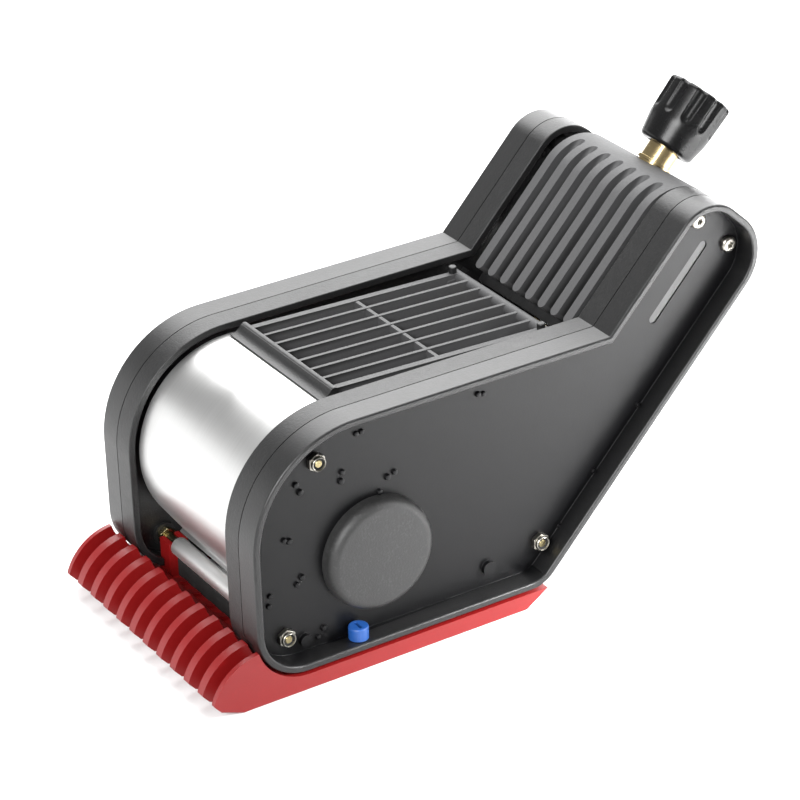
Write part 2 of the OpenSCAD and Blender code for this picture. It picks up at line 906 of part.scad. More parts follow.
// Red skid shoe: finned front with a strip's seat, side rails, spray window and the roller bolt's lugs
module skid_shoe() {
  color(RED)
    difference() {
      union() {
        for (i = [1 : fin_n - 2])
          across(fin_x(i), fin_x(i) + fin_t)
            fin_outline(fin_r);
        both_sides()
          across(shoe_x - outer_fin_t, shoe_x)
            fin_outline(fin_r);
        across(-shoe_x, shoe_x)
          fin_outline(fin_r - fin_depth);
        across(-shoe_x, shoe_x)
          rail_outline(front_y - fin_reach + fin_bevel, front_bar_end);
        both_sides() {
          across(shoe_x - shoe_rail_w, shoe_x)
            rail_outline(front_y - fin_reach + fin_bevel, long);
          across(lug_x, lug_x + lug_w)
            lug_outline();
          for (y = [stud_y - pad_len / 2, shoe_rear_y - pad_len - pad_gap])
            translate([pad_x[0], y, shoe_top - over])
              cube([pad_x[1] - pad_x[0], pad_len, shoe_reveal + over]);
        }
        across(-shoe_x, shoe_x)
          rail_outline(shoe_rear_y - rear_bar_w, long);
      }
      both_sides()
        stud_hole();
      translate([face_gap / 2 - lug_x, bolt_b[0] - seal_t / 2 - seat_fit, shoe_top])
        cube([2 * lug_x - face_gap, seal_t + 2 * seat_fit, over]);
    }
}

// Space between neighbouring fins, and the left face of inner fin i
function fin_space() = (2 * (shoe_x - outer_fin_t) - (fin_n - 2) * fin_t) / (fin_n - 1);
function fin_x(i) = outer_fin_t - shoe_x + fin_space() + (i - 1) * (fin_t + fin_space());

// Curved fin in front of the covers' round bottom corner
module fin_outline(r) {
  difference() {
    intersection() {
      translate([fin_y, fin_z])
        circle(r, $fn = 128);
      above_bevel();
    }
    translate([nose_y, nose_z])
      circle(nose_r + shoe_reveal, $fn = 128);
    translate([nose_y, -long])
      square(2 * long);
  }
}

// Everything above the ground and the two-step bevel under the fins
module above_bevel() {
  polygon([[tip_y + fin_bevel, 0], [long, 0], [long, long], [tip_y, long], [tip_y, fin_tip_h],
           [tip_y + fin_chin, fin_chin_z]]);
}

// Flat rail from y0 to y1, rounded in front by the covers' corner and bevelled up at the rear
module rail_outline(y0, y1) {
  difference() {
    intersection() {
      polygon([[y0, 0], [shoe_rear_y, 0], [shoe_tip_y, shoe_top], [y0, shoe_top]]);
      translate([y0, 0])
        square([y1 - y0, shoe_h]);
    }
    intersection() {
      translate([nose_y, nose_z])
        circle(nose_r + shoe_reveal, $fn = 128);
      translate([nose_y - long, 0])
        square([long, long]);
    }
  }
}

// Saddle lug that takes the lower front tie bolt from above
module lug_outline() {
  slot = bolt_d + 2 * hole_fit;
  difference() {
    translate([bolt_b[0] - lug_len / 2, over])
      square([lug_len, lug_top - over]);
    translate(bolt_b)
      circle(d = slot);
    translate([bolt_b[0] - slot / 2, bolt_b[1]])
      square([slot, long]);
  }
}

// Round hole with a cross slot that lets the stud's tail pass at a quarter turn
module stud_hole() {
  translate([stud_x, stud_y, -over])
    cylinder(d = stud_d + 2 * run_fit, h = shoe_h + 2 * over);
  translate([stud_x - (stud_tail_w + face_gap) / 2, stud_y - stud_tail_len / 2 - face_gap, -over])
    cube([stud_tail_w + face_gap, stud_tail_len + 2 * face_gap, shoe_h + 2 * over]);
  translate([stud_x, stud_y, -over])
    cylinder(d = stud_tail_len + 2 * face_gap, h = stud_foot + over);
}

// Rubber strip under the roller that keeps spray in
module front_seal() {
  color(RUBBER)
    translate([-lug_x + face_gap, bolt_b[0] - seal_t / 2, shoe_top])
      cube([2 * (lug_x - face_gap), seal_t, seal_h]);
}

// Blue quarter-turn stud: slotted head on the cover's rim, tail bar under the shoe's step
module shoe_stud() {
  head_z = base_z + rim_t + face_gap;
  foot_z = stud_foot - face_gap - stud_tail;
  color(BLUE)
    translate([stud_x, stud_y, 0])
      difference() {
        union() {
          translate([0, 0, head_z])
            rotate_extrude()
              difference() {
                square([stud_head_d / 2, stud_head_h]);
                translate([stud_head_d / 2, stud_head_h])
                  rotate(180)
                    corner(stud_edge_r);
              }
          translate([0, 0, foot_z])
            cylinder(d = stud_d, h = head_z - foot_z + over);
          translate([-stud_tail_len / 2, -stud_tail_w / 2, foot_z])
            cube([stud_tail_len, stud_tail_w, stud_tail]);
        }
        translate([-slot_len / 2, -slot_t / 2, head_z + stud_head_h - slot_d])
          cube([slot_len, slot_t, long]);
      }
}

// Satin tube that turns on the lower front tie bolt
module front_roller() {
  x = inner_x - roller_end_gap;
  color(STEEL)
    difference() {
      bar_x(-x, x, roller_d, bolt_b);
      bar_x(-x - over, x + over, bolt_d + 2 * run_fit, bolt_b);
    }
}

// Brass nuts that lock the lower front bolt against the frames
module roller_nuts() {
  color(BRASS)
    both_sides()
      difference() {
        hex_x(frame_face_x - boss_h - roller_nut_t, frame_face_x - boss_h, nut_af, bolt_b);
        bar_x(0, frame_face_x, bolt_d, bolt_b);
      }
}

// Long bolts with their heads on the left and their ends in the lock nuts on the right
module tie_bolts() {
  head_x = -cover_face_x - bolt_head_h;
  color(BRASS)
    for (b = bolts)
      difference() {
        union() {
          bar_x(-cover_face_x - over, cover_face_x + locknut_h - bolt_tip_in, bolt_d, b);
          bar_x(head_x, -cover_face_x, bolt_head_d, b);
        }
        hex_x(head_x - over, head_x + bolt_head_h / 2, socket_af, b);
      }
}

// Hexagon lock nuts with a round crimped collar, open around the bolt's end
module lock_nuts() {
  end_x = cover_face_x + locknut_h;
  color(STEEL)
    for (b = bolts)
      difference() {
        union() {
          hex_x(cover_face_x, end_x - locknut_ring_h, nut_af, b);
          bar_x(cover_face_x, end_x, locknut_ring_d, b);
        }
        bar_x(cover_face_x - over, end_x + over, bolt_d, b);
        bar_x(end_x - locknut_eye, end_x + over, locknut_eye_d, b);
      }
}

// Tubes on the bolts that keep the two side walls apart
module spacer_tubes() {
  end_x = frame_face_x - boss_h;
  plate_x = hood_x - hood_plate;
  spans = [[bolt_a, -end_x, -hood_x], [bolt_a, -plate_x, plate_x], [bolt_a, hood_x, end_x],
           [bolt_c, -end_x, end_x]];
  color(STEEL)
    for (t = spans)
      difference() {
        bar_x(t[1], t[2], spacer_d, t[0]);
        bar_x(t[1] - over, t[2] + over, bolt_d + 2 * hole_fit, t[0]);
      }
}

// Pan screws with a six-lobe recess, through the side walls into the ribbed cover
module tower_screws() {
  color(STEEL)
    on_tower()
      both_sides()
        for (n = tower_screw_n)
          difference() {
            translate([cover_face_x, tower_screw_s, -n])
              rotate([0, 90, 0])
                screw_body();
            for (a = [0 : 60 : 300])
              bar_x(cover_face_x + screw_head_h - lobe_depth, outer_x, lobe_d,
                    [tower_screw_s + lobe_r * cos(a), -n + lobe_r * sin(a)]);
            bar_x(cover_face_x + screw_head_h - lobe_depth, outer_x, recess_d, [tower_screw_s, -n]);
          }
}

module screw_body() {
  rotate_extrude() {
    difference() {
      square([screw_head_d / 2, screw_head_h]);
      translate([screw_head_d / 2, screw_head_h])
        rotate(180)
          corner(screw_edge_r);
    }
    translate([0, -screw_len])
      square([screw_d / 2, screw_len]);
  }
}

// Brass nipple: flange on the crest, neck and collar inside the union nut, sealing nose
module inlet_nipple() {
  color(BRASS)
    difference() {
      on_axis(nipple_foot_s)
        rotate_extrude()
          difference() {
            union() {
              square([nipple_d / 2, nut_s + neck_in - nipple_foot_s]);
              square([neck_d / 2, collar_s + collar_len - nipple_foot_s]);
              translate([0, crest_s - nipple_foot_s])
                square([flange_d / 2, flange_t]);
              translate([0, collar_s - nipple_foot_s])
                square([collar_d / 2, collar_len]);
              translate([0, collar_s - nipple_foot_s])
                square([nose_d / 2, collar_len + nose_len]);
            }
            square([nipple_bore / 2, long]);
            square([pipe_d / 2 + seat_fit / 2, socket_len]);
            translate([nose_d / 2, collar_s + collar_len + nose_len / 2 - nipple_foot_s])
              circle(d = o_ring_d);
          }
    }
}

// Hexagon nut that clamps the nipple inside the crest
module inlet_jam_nut() {
  color(BRASS)
    on_axis(jam_seat_s - jam_t)
      difference() {
        cylinder(d = jam_af / cos(30), h = jam_t, $fn = 6);
        translate([0, 0, -over])
          cylinder(d = nipple_d, h = jam_t + 2 * over);
      }
}

module inlet_o_ring() {
  color(RUBBER)
    on_axis(collar_s + collar_len + nose_len / 2)
      rotate_extrude()
        translate([nose_d / 2, 0])
          circle(d = o_ring_d - o_ring_squeeze, $fn = 32);
}

// Grip that widens to a shoulder, with flutes from there to the wide end
module union_nut_grip() {
  r0 = nut_small_d / 2;
  r1 = nut_big_d / 2;
  color(RUBBER)
    on_axis(nut_s)
      difference() {
        rotate_extrude($fn = 96)
          polygon([[nut_bore_r, 0], [r0 - nut_edge, 0], [r0, nut_edge], [nut_mid_d / 2, nut_mid],
                   [r1, nut_len - nut_lip], [r1 - nut_lip, nut_len], [core_d / 2 - core_lip, nut_len],
                   [core_d / 2, nut_len - core_lip], [core_d / 2, core_in], [nut_bore_r, core_in]]);
        for (i = [0 : flute_n - 1])
          rotate(flute_turn + i * 360 / flute_n)
            translate([r1 - flute_depth + flute_r, 0, flute_foot])
              flute();
      }
}

// Round-ended cutter for one flute
module flute() {
  rotate_extrude()
    difference() {
      square([flute_r, nut_len]);
      translate([flute_r, 0])
        mirror([1, 0])
          corner(0.9 * flute_r);
    }
}

// Brass core with the union thread, held captive behind the nipple's collar
module union_nut_core() {
  shoulder = collar_s - face_gap - core_foot_s;
  color(BRASS)
    on_axis(core_foot_s)
      difference() {
        cylinder(d = core_d, h = core_end_s - core_foot_s);
        translate([0, 0, -over])
          cylinder(d = neck_d + 2 * run_fit, h = shoulder + 2 * over);
        translate([0, 0, shoulder])
          cylinder(d = thread_bore + 2 * thread_relief, h = core_end_s - core_foot_s - shoulder - thread_len);
        translate([0, 0, shoulder])
          cylinder(d = thread_bore, h = long);
      }
}

// Straight pipe from the nipple's socket down to the nozzle block
module feed_pipe() {
  foot_s = block_s - pipe_foot;
  color(STEEL)
    on_axis(foot_s)
      difference() {
        cylinder(d = pipe_d, h = nipple_foot_s + socket_len - foot_s);
        translate([0, 0, -over])
          cylinder(d = pipe_d - 2 * pipe_t, h = long);
      }
}

// Brass block on the bracket, bored through for the water
module nozzle_block() {
  color(BRASS)
    on_axis(block_s - block_len)
      difference() {
        union() {
          cylinder(d = block_d, h = block_len - block_neck);
          cylinder(d = block_neck_d, h = block_len);
        }
        translate([0, 0, block_len - pipe_foot])
          cylinder(d = pipe_d + seat_fit, h = long);
        translate([0, 0, -over])
          cylinder(d = nozzle_root_d, h = nozzle_root + over);
        cylinder(d = pipe_d - 2 * pipe_t, h = block_len);
      }
}

// Flat-jet nozzle with its slotted mouth
module nozzle() {
  color(STEEL)
    on_axis(block_s - block_len - nozzle_len)
      difference() {
        union() {
          cylinder(d = nozzle_d / cos(30), h = nozzle_len, $fn = 6);
          cylinder(d = nozzle_root_d, h = nozzle_len + nozzle_root);
        }
        translate([0, 0, -over])
          cylinder(d = nozzle_bore, h = long);
        translate([0, 0, nozzle_len / 2])
          cylinder(d = nozzle_feed_d, h = long);
        translate([-nozzle_d, -mouth_w / 2, -over])
          cube([2 * nozzle_d, mouth_w, mouth_depth + over]);
      }
}

// Steel cross plate that carries the nozzle block between the frames
module nozzle_bracket() {
  color(STEEL)
    on_tower()
      difference() {
        translate([-bracket_x, bracket_s - bracket_t, -bracket_front_n - bracket_w])
          cube([2 * bracket_x, bracket_t, bracket_w]);
        translate([0, bracket_s - bracket_t - over, -axis_n])
          rotate([-90, 0, 0])
            cylinder(d = block_neck_d + 2 * seat_fit, h = bracket_t + 2 * over);
      }
}

color(RIM) side_frame();  // side_frame_right
color(RIM) mirror([1, 0, 0]) side_frame();  // side_frame_left
color(BLACK) side_cover();  // side_cover_right
color(BLACK) mirror([1, 0, 0]) side_cover();  // side_cover_left
color(GREY) side_cap();  // side_cap_right
color(GREY) mirror([1, 0, 0]) side_cap();  // side_cap_left
side_inlays();
hood();
grate();
grate_pegs();
ribbed_cover();
back_panel();
skid_shoe();
front_seal();
shoe_stud();  // shoe_stud_right
mirror([1, 0, 0]) shoe_stud();  // shoe_stud_left
front_roller();
roller_nuts();
tie_bolts();
lock_nuts();
spacer_tubes();
tower_screws();
inlet_nipple();
inlet_jam_nut();
inlet_o_ring();
union_nut_grip();
union_nut_core();
feed_pipe();
nozzle_block();
nozzle();
nozzle_bracket();
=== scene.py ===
"""Looks of a hand-guided gum removal head, dressed around its packed construction."""
import json
import math

import bmesh
import bpy
from bpy.props import FloatProperty, FloatVectorProperty, IntProperty, PointerProperty
from mathutils import Matrix, Vector


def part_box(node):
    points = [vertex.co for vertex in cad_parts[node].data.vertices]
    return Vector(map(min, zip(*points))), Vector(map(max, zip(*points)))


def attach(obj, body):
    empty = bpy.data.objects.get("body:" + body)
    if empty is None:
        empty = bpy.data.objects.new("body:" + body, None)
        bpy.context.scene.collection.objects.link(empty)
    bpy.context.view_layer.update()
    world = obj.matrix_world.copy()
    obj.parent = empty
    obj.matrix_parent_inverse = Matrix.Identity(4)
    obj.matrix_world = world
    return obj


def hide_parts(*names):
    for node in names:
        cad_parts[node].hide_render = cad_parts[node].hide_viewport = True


bl_info = {
    "name": "Gum Removal Head",
    "version": (1, 0, 0),
    "blender": (4, 5, 0),
    "location": "3D View > Sidebar > Gum Head",
    "description": "Builds the finished pieces of a gum removal head around its frame",
    "category": "Add Mesh",
}

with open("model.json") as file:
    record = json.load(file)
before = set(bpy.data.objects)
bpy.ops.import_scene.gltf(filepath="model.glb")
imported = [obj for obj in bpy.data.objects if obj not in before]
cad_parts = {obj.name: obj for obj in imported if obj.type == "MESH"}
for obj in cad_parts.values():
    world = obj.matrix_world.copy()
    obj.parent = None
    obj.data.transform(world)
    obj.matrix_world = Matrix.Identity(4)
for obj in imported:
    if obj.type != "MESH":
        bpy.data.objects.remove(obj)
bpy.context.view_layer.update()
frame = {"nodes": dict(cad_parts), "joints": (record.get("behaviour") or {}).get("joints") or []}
JOINTS = {joint["name"]: joint for joint in frame["joints"]}
MM = 0.001
# The two sides and their signs along X
SIDES = {"right": 1, "left": -1}

# Planes of the side walls, from the parting line outwards and inwards
COVER_LOW, COVER_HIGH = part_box("side_cover_right")
PART_X = COVER_LOW.x
LIP_X = COVER_HIGH.x
FLOOR_X = PART_X + 2 * MM
INNER_LIP_X = PART_X - 12.25 * MM
FRONT_Y = COVER_LOW.y

# The tower's axis, which the inlet shares
INLET = Vector(JOINTS["union_nut_turn"]["pos_m"])
INLET_AXIS = Vector(JOINTS["union_nut_turn"]["axis"])
TOWER_ANGLE = math.atan2(INLET_AXIS.z, INLET_AXIS.y)

# Names of the values that meshes store for their finishes and for Geometry Nodes
WEAR = "edge_wear"
PANEL = "panel"
# Stored on the inlays, the slats and the rib tops, where it makes the surface rougher. On the inlays it also darkens
# their own steel colour. On the slats and rib tops it paints the plastic lighter, as a painted highlight.
MATTE_AND_LIT_TOP = "matte"
SIZE = "size"

# Scales of the plastic's noises, from the broad clouds to the moulded grain
CLOUD_SCALE = 60
RUB_SCALE = 150
BLOTCH_SCALE = 260
GRAIN_SCALE = 850


def length(name, description, millimetres):
    """A size that a user can change, given in millimetres."""
    return FloatProperty(name=name, description=description, default=millimetres * MM, unit="LENGTH", precision=5)


def count(name, description, default):
    """A number of repeats that a user can change."""
    return IntProperty(name=name, description=description, default=default, min=1)


def amount(name, description, default, unit="NONE"):
    """An amount that a user can change, such as a light's power."""
    return FloatProperty(name=name, description=description, default=default, unit=unit)


def tilt(name, description, degrees):
    """An angle that a user can change, given in degrees."""
    return FloatProperty(name=name, description=description, default=math.radians(degrees), subtype="ANGLE")


def colour(name, description, red, green, blue):
    """A colour that a user can change, in linear values."""
    return FloatVectorProperty(name=name, description=description, default=(red, green, blue), subtype="COLOR",
                               size=3, min=0, max=1)


class HeadSizes(bpy.types.PropertyGroup):
    """Sizes of the finished details."""

    lip_edge: length("Lip edge", "Rounding along the side walls' lips", 1.1)
    wall_fillet: length("Wall fillet", "Fillet where a cover's wall meets its panel", 1.2)
    seam_edge: length("Seam edge", "Rounding along the parting line", 0.2)
    nub_width: length("Nub width", "Diameter of the small moulded nubs on the panels", 3.0)
    nub_height: length("Nub height", "Height of the small moulded nubs", 1.4)
    slat_count: count("Slats", "Number of slats in the grate", 8)
    slat_width: length("Slat width", "Thickness of an inner slat", 2.0)
    outer_slat_width: length("Outer slat width", "Thickness of the two outer slats", 3.6)
    slat_depth: length("Slat depth", "Depth of a slat", 9.0)
    slat_pitch: length("Slat pitch", "Distance between neighbouring slats", 10.4)
    rear_rod: length("Rear rod", "Diameter of the grate's rear rod", 5.5)
    hood_radius: length("Hood radius", "Outer radius of the hood's curve", 49.5)
    hood_sheet: length("Hood sheet", "Thickness of the hood's sheet", 1.2)
    hood_lip: length("Hood lip", "Width of the hood's folded lip", 2.0)
    hood_bend: length("Hood bend", "Inner radius of the bend above the lip", 0.7)
    rib_edge: length("Rib edge", "Rounding along the ribs of the tower cover", 0.35)
    fin_edge: length("Fin edge", "Rounding along the shoe's fins", 0.5)
    bolt_width: length("Bolt width", "Diameter of the tie bolts", 5.0)
    nut_length: length("Nut length", "Length of the union nut", 32.0)
    nut_narrow: length("Nut narrow end", "Diameter of the union nut's narrow end", 27.5)
    nut_shoulder: length("Nut shoulder", "Diameter of the union nut's shoulder", 31.6)
    nut_wide: length("Nut wide end", "Diameter of the union nut's wide end", 32.7)
    nut_flutes: count("Nut flutes", "Number of flutes around the union nut", 10)
    flute_radius: length("Flute radius", "Radius of a flute", 3.6)
    flute_depth: length("Flute depth", "Depth of a flute at the wide end", 1.5)


class HeadColours(bpy.types.PropertyGroup):
    """Colours of the finishes."""

    plastic: colour("Frame plastic", "Charcoal plastic of the frames, grate and tower", 0.011, 0.011, 0.0113)
    cover: colour("Cover plastic", "Charcoal plastic of the outer covers' rims", 0.009, 0.009, 0.0093)
    panel: colour("Panel plastic", "Black of the outer covers' recessed panels", 0.0015, 0.0015, 0.0019)
    cap: colour("Cap", "Grey of the round side caps", 0.025, 0.025, 0.025)
    shoe: colour("Shoe", "Red of the skid shoe", 0.195, 0.0044, 0.0047)
    steel: colour("Steel", "Brushed steel of the hood", 0.66, 0.66, 0.655)
    satin: colour("Satin steel", "Duller steel of the roller, inlays and pipe", 0.75, 0.75, 0.745)
    zinc: colour("Zinc", "Zinc plating of the small fasteners", 0.34, 0.325, 0.29)
    plating: colour("Plating", "Yellow zinc of the tie bolts and the roller's nuts", 0.26, 0.22, 0.12)
    brass: colour("Brass", "Turned brass of the inlet", 0.46, 0.36, 0.19)
    stud: colour("Stud", "Blue of the shoe studs", 0.013, 0.07, 0.27)
    nut: colour("Nut", "Black of the union nut", 0.004, 0.004, 0.0042)
    rubber: colour("Rubber", "Black of the seals", 0.02, 0.02, 0.02)


class StageSettings(bpy.types.PropertyGroup):
    """Camera, floor and light."""

    azimuth: tilt("Azimuth", "Turn of the camera round the head", 58.345)
    elevation: tilt("Elevation", "Camera angle above the floor", 27.853)
    roll: tilt("Roll", "Tilt of the camera about its view", -1.76)
    lens: amount("Lens", "Focal length in millimetres", 146.26, "CAMERA")
    place: FloatVectorProperty(name="Place", description="Where the camera stands", size=3, unit="LENGTH",
                               default=(1.13806, -0.721808, 0.79311))
    floor: length("Floor", "Side of the floor", 12000.0)
    sky: amount("Sky", "Strength of the even studio light", 0.38)
    key: amount("Key light", "Power of the large ceiling light", 178.0, "POWER")
    pool: amount("Pool light", "Power of the light on the floor behind the right side", 8.5, "POWER")
    front: amount("Front light", "Power of the light before the head", 34.0, "POWER")
    back: amount("Back light", "Power of the upright light far behind", 26.0, "POWER")
    card: amount("Card", "Power of the low upright light at the front left", 5.5, "POWER")


class Wire:
    """An output of a node. Arithmetic on wires adds Math nodes to their tree."""

    def __init__(self, sketch, socket):
        self.sketch = sketch
        self.socket = socket

    def math(self, operation, *others):
        """Adds a Math node with this wire as its first input."""
        values = dict(enumerate((self, *others)))
        return self.sketch.node("ShaderNodeMath", {"operation": operation}, values)

    def __add__(self, other):
        return self.math("ADD", other)

    def __sub__(self, other):
        return self.math("SUBTRACT", other)

    def __rsub__(self, other):
        return self.math("MULTIPLY", -1) + other

    def __mul__(self, other):
        return self.math("MULTIPLY", other)

    def __truediv__(self, other):
        return self.math("DIVIDE", other)

    __radd__ = __add__
    __rmul__ = __mul__


class Sketch:
    """A node tree that is drawn in code."""

    def __init__(self, tree):
        self.tree = tree
        tree.nodes.clear()

    def feed(self, socket, value):
        """Links a wire to a socket, or sets a plain value on it."""
        if isinstance(value, Wire):
            self.tree.links.new(value.socket, socket)
        else:
            socket.default_value = value

    def node(self, kind, settings=None, sockets=None, out=0):
        """Adds a node, its settings first, then the values or links of its sockets."""
        made = self.tree.nodes.new(kind)
        for key, value in (settings or {}).items():
            setattr(made, key, value)
        for key, value in (sockets or {}).items():
            self.feed(made.inputs[key], value)
        return Wire(self, made.outputs[out])

    def mix(self, factor, first, second):
        """Colour between two colours."""
        return self.node("ShaderNodeMix", {"data_type": "RGBA"}, {0: factor, 6: first, 7: second}, 2)

    def noise(self, place, scale, detail=2.0, roughness=0.5):
        """Noise between 0 and 1."""
        return self.node("ShaderNodeTexNoise", None, {"Vector": place, "Scale": scale, "Detail": detail,
                                                      "Roughness": roughness})

    def ramp(self, value, low, high):
        """Runs smoothly from 0 at low to 1 at high."""
        return self.node("ShaderNodeMapRange", {"interpolation_type": "SMOOTHSTEP"},
                         {0: value, 1: low, 2: high, 3: 0.0, 4: 1.0})

    def bump(self, height, distance, strength=1.0):
        """Normal of a surface whose height changes by up to a distance in metres."""
        return self.node("ShaderNodeBump", None, {"Strength": strength, "Distance": distance, "Height": height})


class Finish:
    """A material with one shader; plain values are set on the shader's own sockets."""

    def __init__(self, name, **constants):
        self.material = bpy.data.materials.new(name)
        self.material.use_nodes = True
        self.sketch = Sketch(self.material.node_tree)
        nodes = self.material.node_tree.nodes
        self.shader = nodes.new("ShaderNodeBsdfPrincipled")
        output = nodes.new("ShaderNodeOutputMaterial")
        self.material.node_tree.links.new(self.shader.outputs[0], output.inputs[0])
        for socket, value in constants.items():
            self.set(socket.replace("_", " ").title().replace("Ior", "IOR"), value)

    def set(self, socket, value):
        """Sets or links one of the shader's sockets."""
        self.sketch.feed(self.shader.inputs[socket], value)

    def place(self):
        """Place on the piece, in metres."""
        return self.sketch.node("ShaderNodeTexCoord", out="Object")

    def stretched(self, scale):
        """Place on the piece, scaled along each axis."""
        return self.sketch.node("ShaderNodeVectorMath", {"operation": "MULTIPLY"}, {0: self.place(), 1: scale})

    def stored(self, name):
        """Value that the mesh stores under a name."""
        return self.sketch.node("ShaderNodeAttribute", {"attribute_name": name}, out="Fac")


def shade(tint, factor):
    """A colour made lighter or darker, with its alpha."""
    return (*(min(1.0, channel * factor) for channel in tint), 1.0)


def moulded_plastic(name, tint, roughness, grain, edge=0.5, panel=None, shine=0.5, mottle=0.07, speckle=0.3):
    """Moulded plastic: fine low-gloss grain, paler rubbed edges, where stored a smoother panel of its own colour, and
    where stored a rougher surface painted lighter as a painted highlight.
    """
    finish = Finish(name, specular_ior_level=shine, coat_weight=0.0, coat_roughness=roughness)
    sketch = finish.sketch
    place = finish.place()
    cloud = sketch.noise(place, CLOUD_SCALE, 4, 0.6)
    blotch = sketch.noise(place, BLOTCH_SCALE, 4, 0.7)
    fine = sketch.noise(place, GRAIN_SCALE, 3, 0.65)
    rubbed = finish.stored(WEAR) * sketch.ramp(sketch.noise(place, RUB_SCALE, 3, 0.7), 0.35, 0.7)
    body = sketch.mix(sketch.ramp(0.4 * cloud + 0.6 * blotch, 0.35, 0.65), shade(tint, 1 - mottle),
                      shade(tint, 1 + mottle))
    body = sketch.mix(sketch.ramp(fine, 0.45, 0.7), shade(tint, 1 - speckle), body)
    height = fine
    rough = roughness - 0.14 + 0.06 * cloud + 0.14 * blotch + 0.12 * fine + 0.2 * finish.stored(MATTE_AND_LIT_TOP)
    if panel:
        inside = finish.stored(PANEL)
        body = sketch.mix(inside, body, shade(panel, 1))
        rough = rough - 0.04 * inside
        height = fine * (1.0 - 0.75 * inside)
        finish.set("Coat Weight", (1.0 - inside) * 0.5)
    # Painted highlight: where stored, the colour is five times lighter, standing in for the light that rib tops and
    # slats catch.
    body = sketch.mix(finish.stored(MATTE_AND_LIT_TOP), body, shade(tint, 5))
    finish.set("Base Color", sketch.mix(rubbed * edge, body, shade(tint, 2.2)))
    finish.set("Roughness", rough)
    finish.set("Normal", sketch.bump(height, grain))
    return finish.material


def brushed_steel(name, tint, roughness, lines, depth):
    """Steel sheet with fine brushing; lines gives how fast it changes along X, Y and Z."""
    finish = Finish(name, metallic=1.0, anisotropic=0.35)
    sketch = finish.sketch
    brush = sketch.noise(finish.stretched(lines), 1, 3, 0.6)
    smear = sketch.noise(finish.place(), 22, 3, 0.6)
    body = sketch.mix(brush, shade(tint, 0.9), shade(tint, 1.08))
    finish.set("Base Color", sketch.mix(finish.stored(MATTE_AND_LIT_TOP), body, shade(tint, 0.22)))
    finish.set("Roughness", roughness - 0.07 + 0.1 * brush + 0.08 * smear + 0.15 * finish.stored(MATTE_AND_LIT_TOP))
    finish.set("Normal", sketch.bump(brush, depth, 0.6))
    return finish.material


def plated_metal(name, tint, roughness):
    """Small metal pieces: slightly clouded plating or turned brass."""
    finish = Finish(name, metallic=1.0)
    sketch = finish.sketch
    cloud = sketch.noise(finish.place(), 420, 4, 0.6)
    finish.set("Base Color", sketch.mix(cloud, shade(tint, 0.86), shade(tint, 1.12)))
    finish.set("Roughness", roughness - 0.06 + 0.16 * cloud)
    finish.set("Normal", sketch.bump(sketch.noise(finish.place(), 1800, 2), 0.012 * MM))
    return finish.material


def soft_rubber(name, tint):
    """Dull black rubber."""
    finish = Finish(name, specular_ior_level=0.25)
    sketch = finish.sketch
    dust = sketch.noise(finish.place(), 320, 4, 0.65)
    finish.set("Base Color", sketch.mix(sketch.ramp(dust, 0.5, 0.8), shade(tint, 0.8), shade(tint, 1.8)))
    finish.set("Roughness", 0.72 + 0.14 * dust)
    finish.set("Normal", sketch.bump(dust, 0.03 * MM))
    return finish.material


def glossy_black(name, tint):
    """Hard black plastic with a soft gloss."""
    finish = Finish(name, specular_ior_level=0.25)
    sketch = finish.sketch
    cloud = sketch.noise(finish.place(), 110, 3, 0.6)
    fine = sketch.noise(finish.place(), 2200, 2)
    finish.set("Base Color", sketch.mix(cloud, shade(tint, 0.75), shade(tint, 1.4)))
    finish.set("Roughness", 0.22 + 0.1 * cloud)
    finish.set("Normal", sketch.bump(fine, 0.012 * MM))
    return finish.material


def make_finishes(tints):
    """One finish for each material slot of the record."""
    around_x = (2600.0, 30.0, 30.0)
    along_x = (40.0, 2200.0, 2200.0)
    return {
        "moulded_black": moulded_plastic("charcoal_moulding", tints.plastic, 0.4, 0.13 * MM),
        "cover_black": moulded_plastic("cover_moulding", tints.cover, 0.4, 0.12 * MM, panel=tints.panel,
                                       shine=0.25),
        "cap_grey": moulded_plastic("cap_moulding", tints.cap, 0.5, 0.13 * MM, mottle=0.5),
        "shoe_red": moulded_plastic("red_moulding", tints.shoe, 0.38, 0.015 * MM, 0.12, speckle=0.05),
        "hood_steel": brushed_steel("brushed_sheet", tints.steel, 0.34, around_x, 0.006 * MM),
        "satin_steel": brushed_steel("satin_steel", tints.satin, 0.5, along_x, 0.008 * MM),
        "zinc_steel": plated_metal("zinc_plating", tints.zinc, 0.28),
        "yellow_zinc": plated_metal("yellow_plating", tints.plating, 0.26),
        "brass": plated_metal("turned_brass", tints.brass, 0.2),
        "stud_blue": moulded_plastic("blue_moulding", tints.stud, 0.36, 0.01 * MM, 0.1, speckle=0.05),
        "nut_black": glossy_black("nut_moulding", tints.nut),
        "seal_rubber": soft_rubber("seal_rubber", tints.rubber),
    }


FINISHES = {}


def finish_of(slot):
    """The finish of a material slot; all of them are made at the first call."""
    if not FINISHES:
        FINISHES.update(make_finishes(bpy.context.scene.head_colours))
    return FINISHES[slot]


def new_object(name, bm):
    """A linked mesh object at the origin, from a bmesh that is then freed."""
    mesh = bpy.data.meshes.new(name)
    bm.to_mesh(mesh)
    bm.free()
    piece = bpy.data.objects.new(name, mesh)
    bpy.context.scene.collection.objects.link(piece)
    return piece


def make_plain(piece):
    """Turns a piece and its modifiers into a plain mesh."""
    graph = bpy.context.evaluated_depsgraph_get()
    mesh = bpy.data.meshes.new_from_object(piece.evaluated_get(graph), preserve_all_data_layers=True,
                                           depsgraph=graph)
    piece.modifiers.clear()
    piece.data = mesh
    return piece


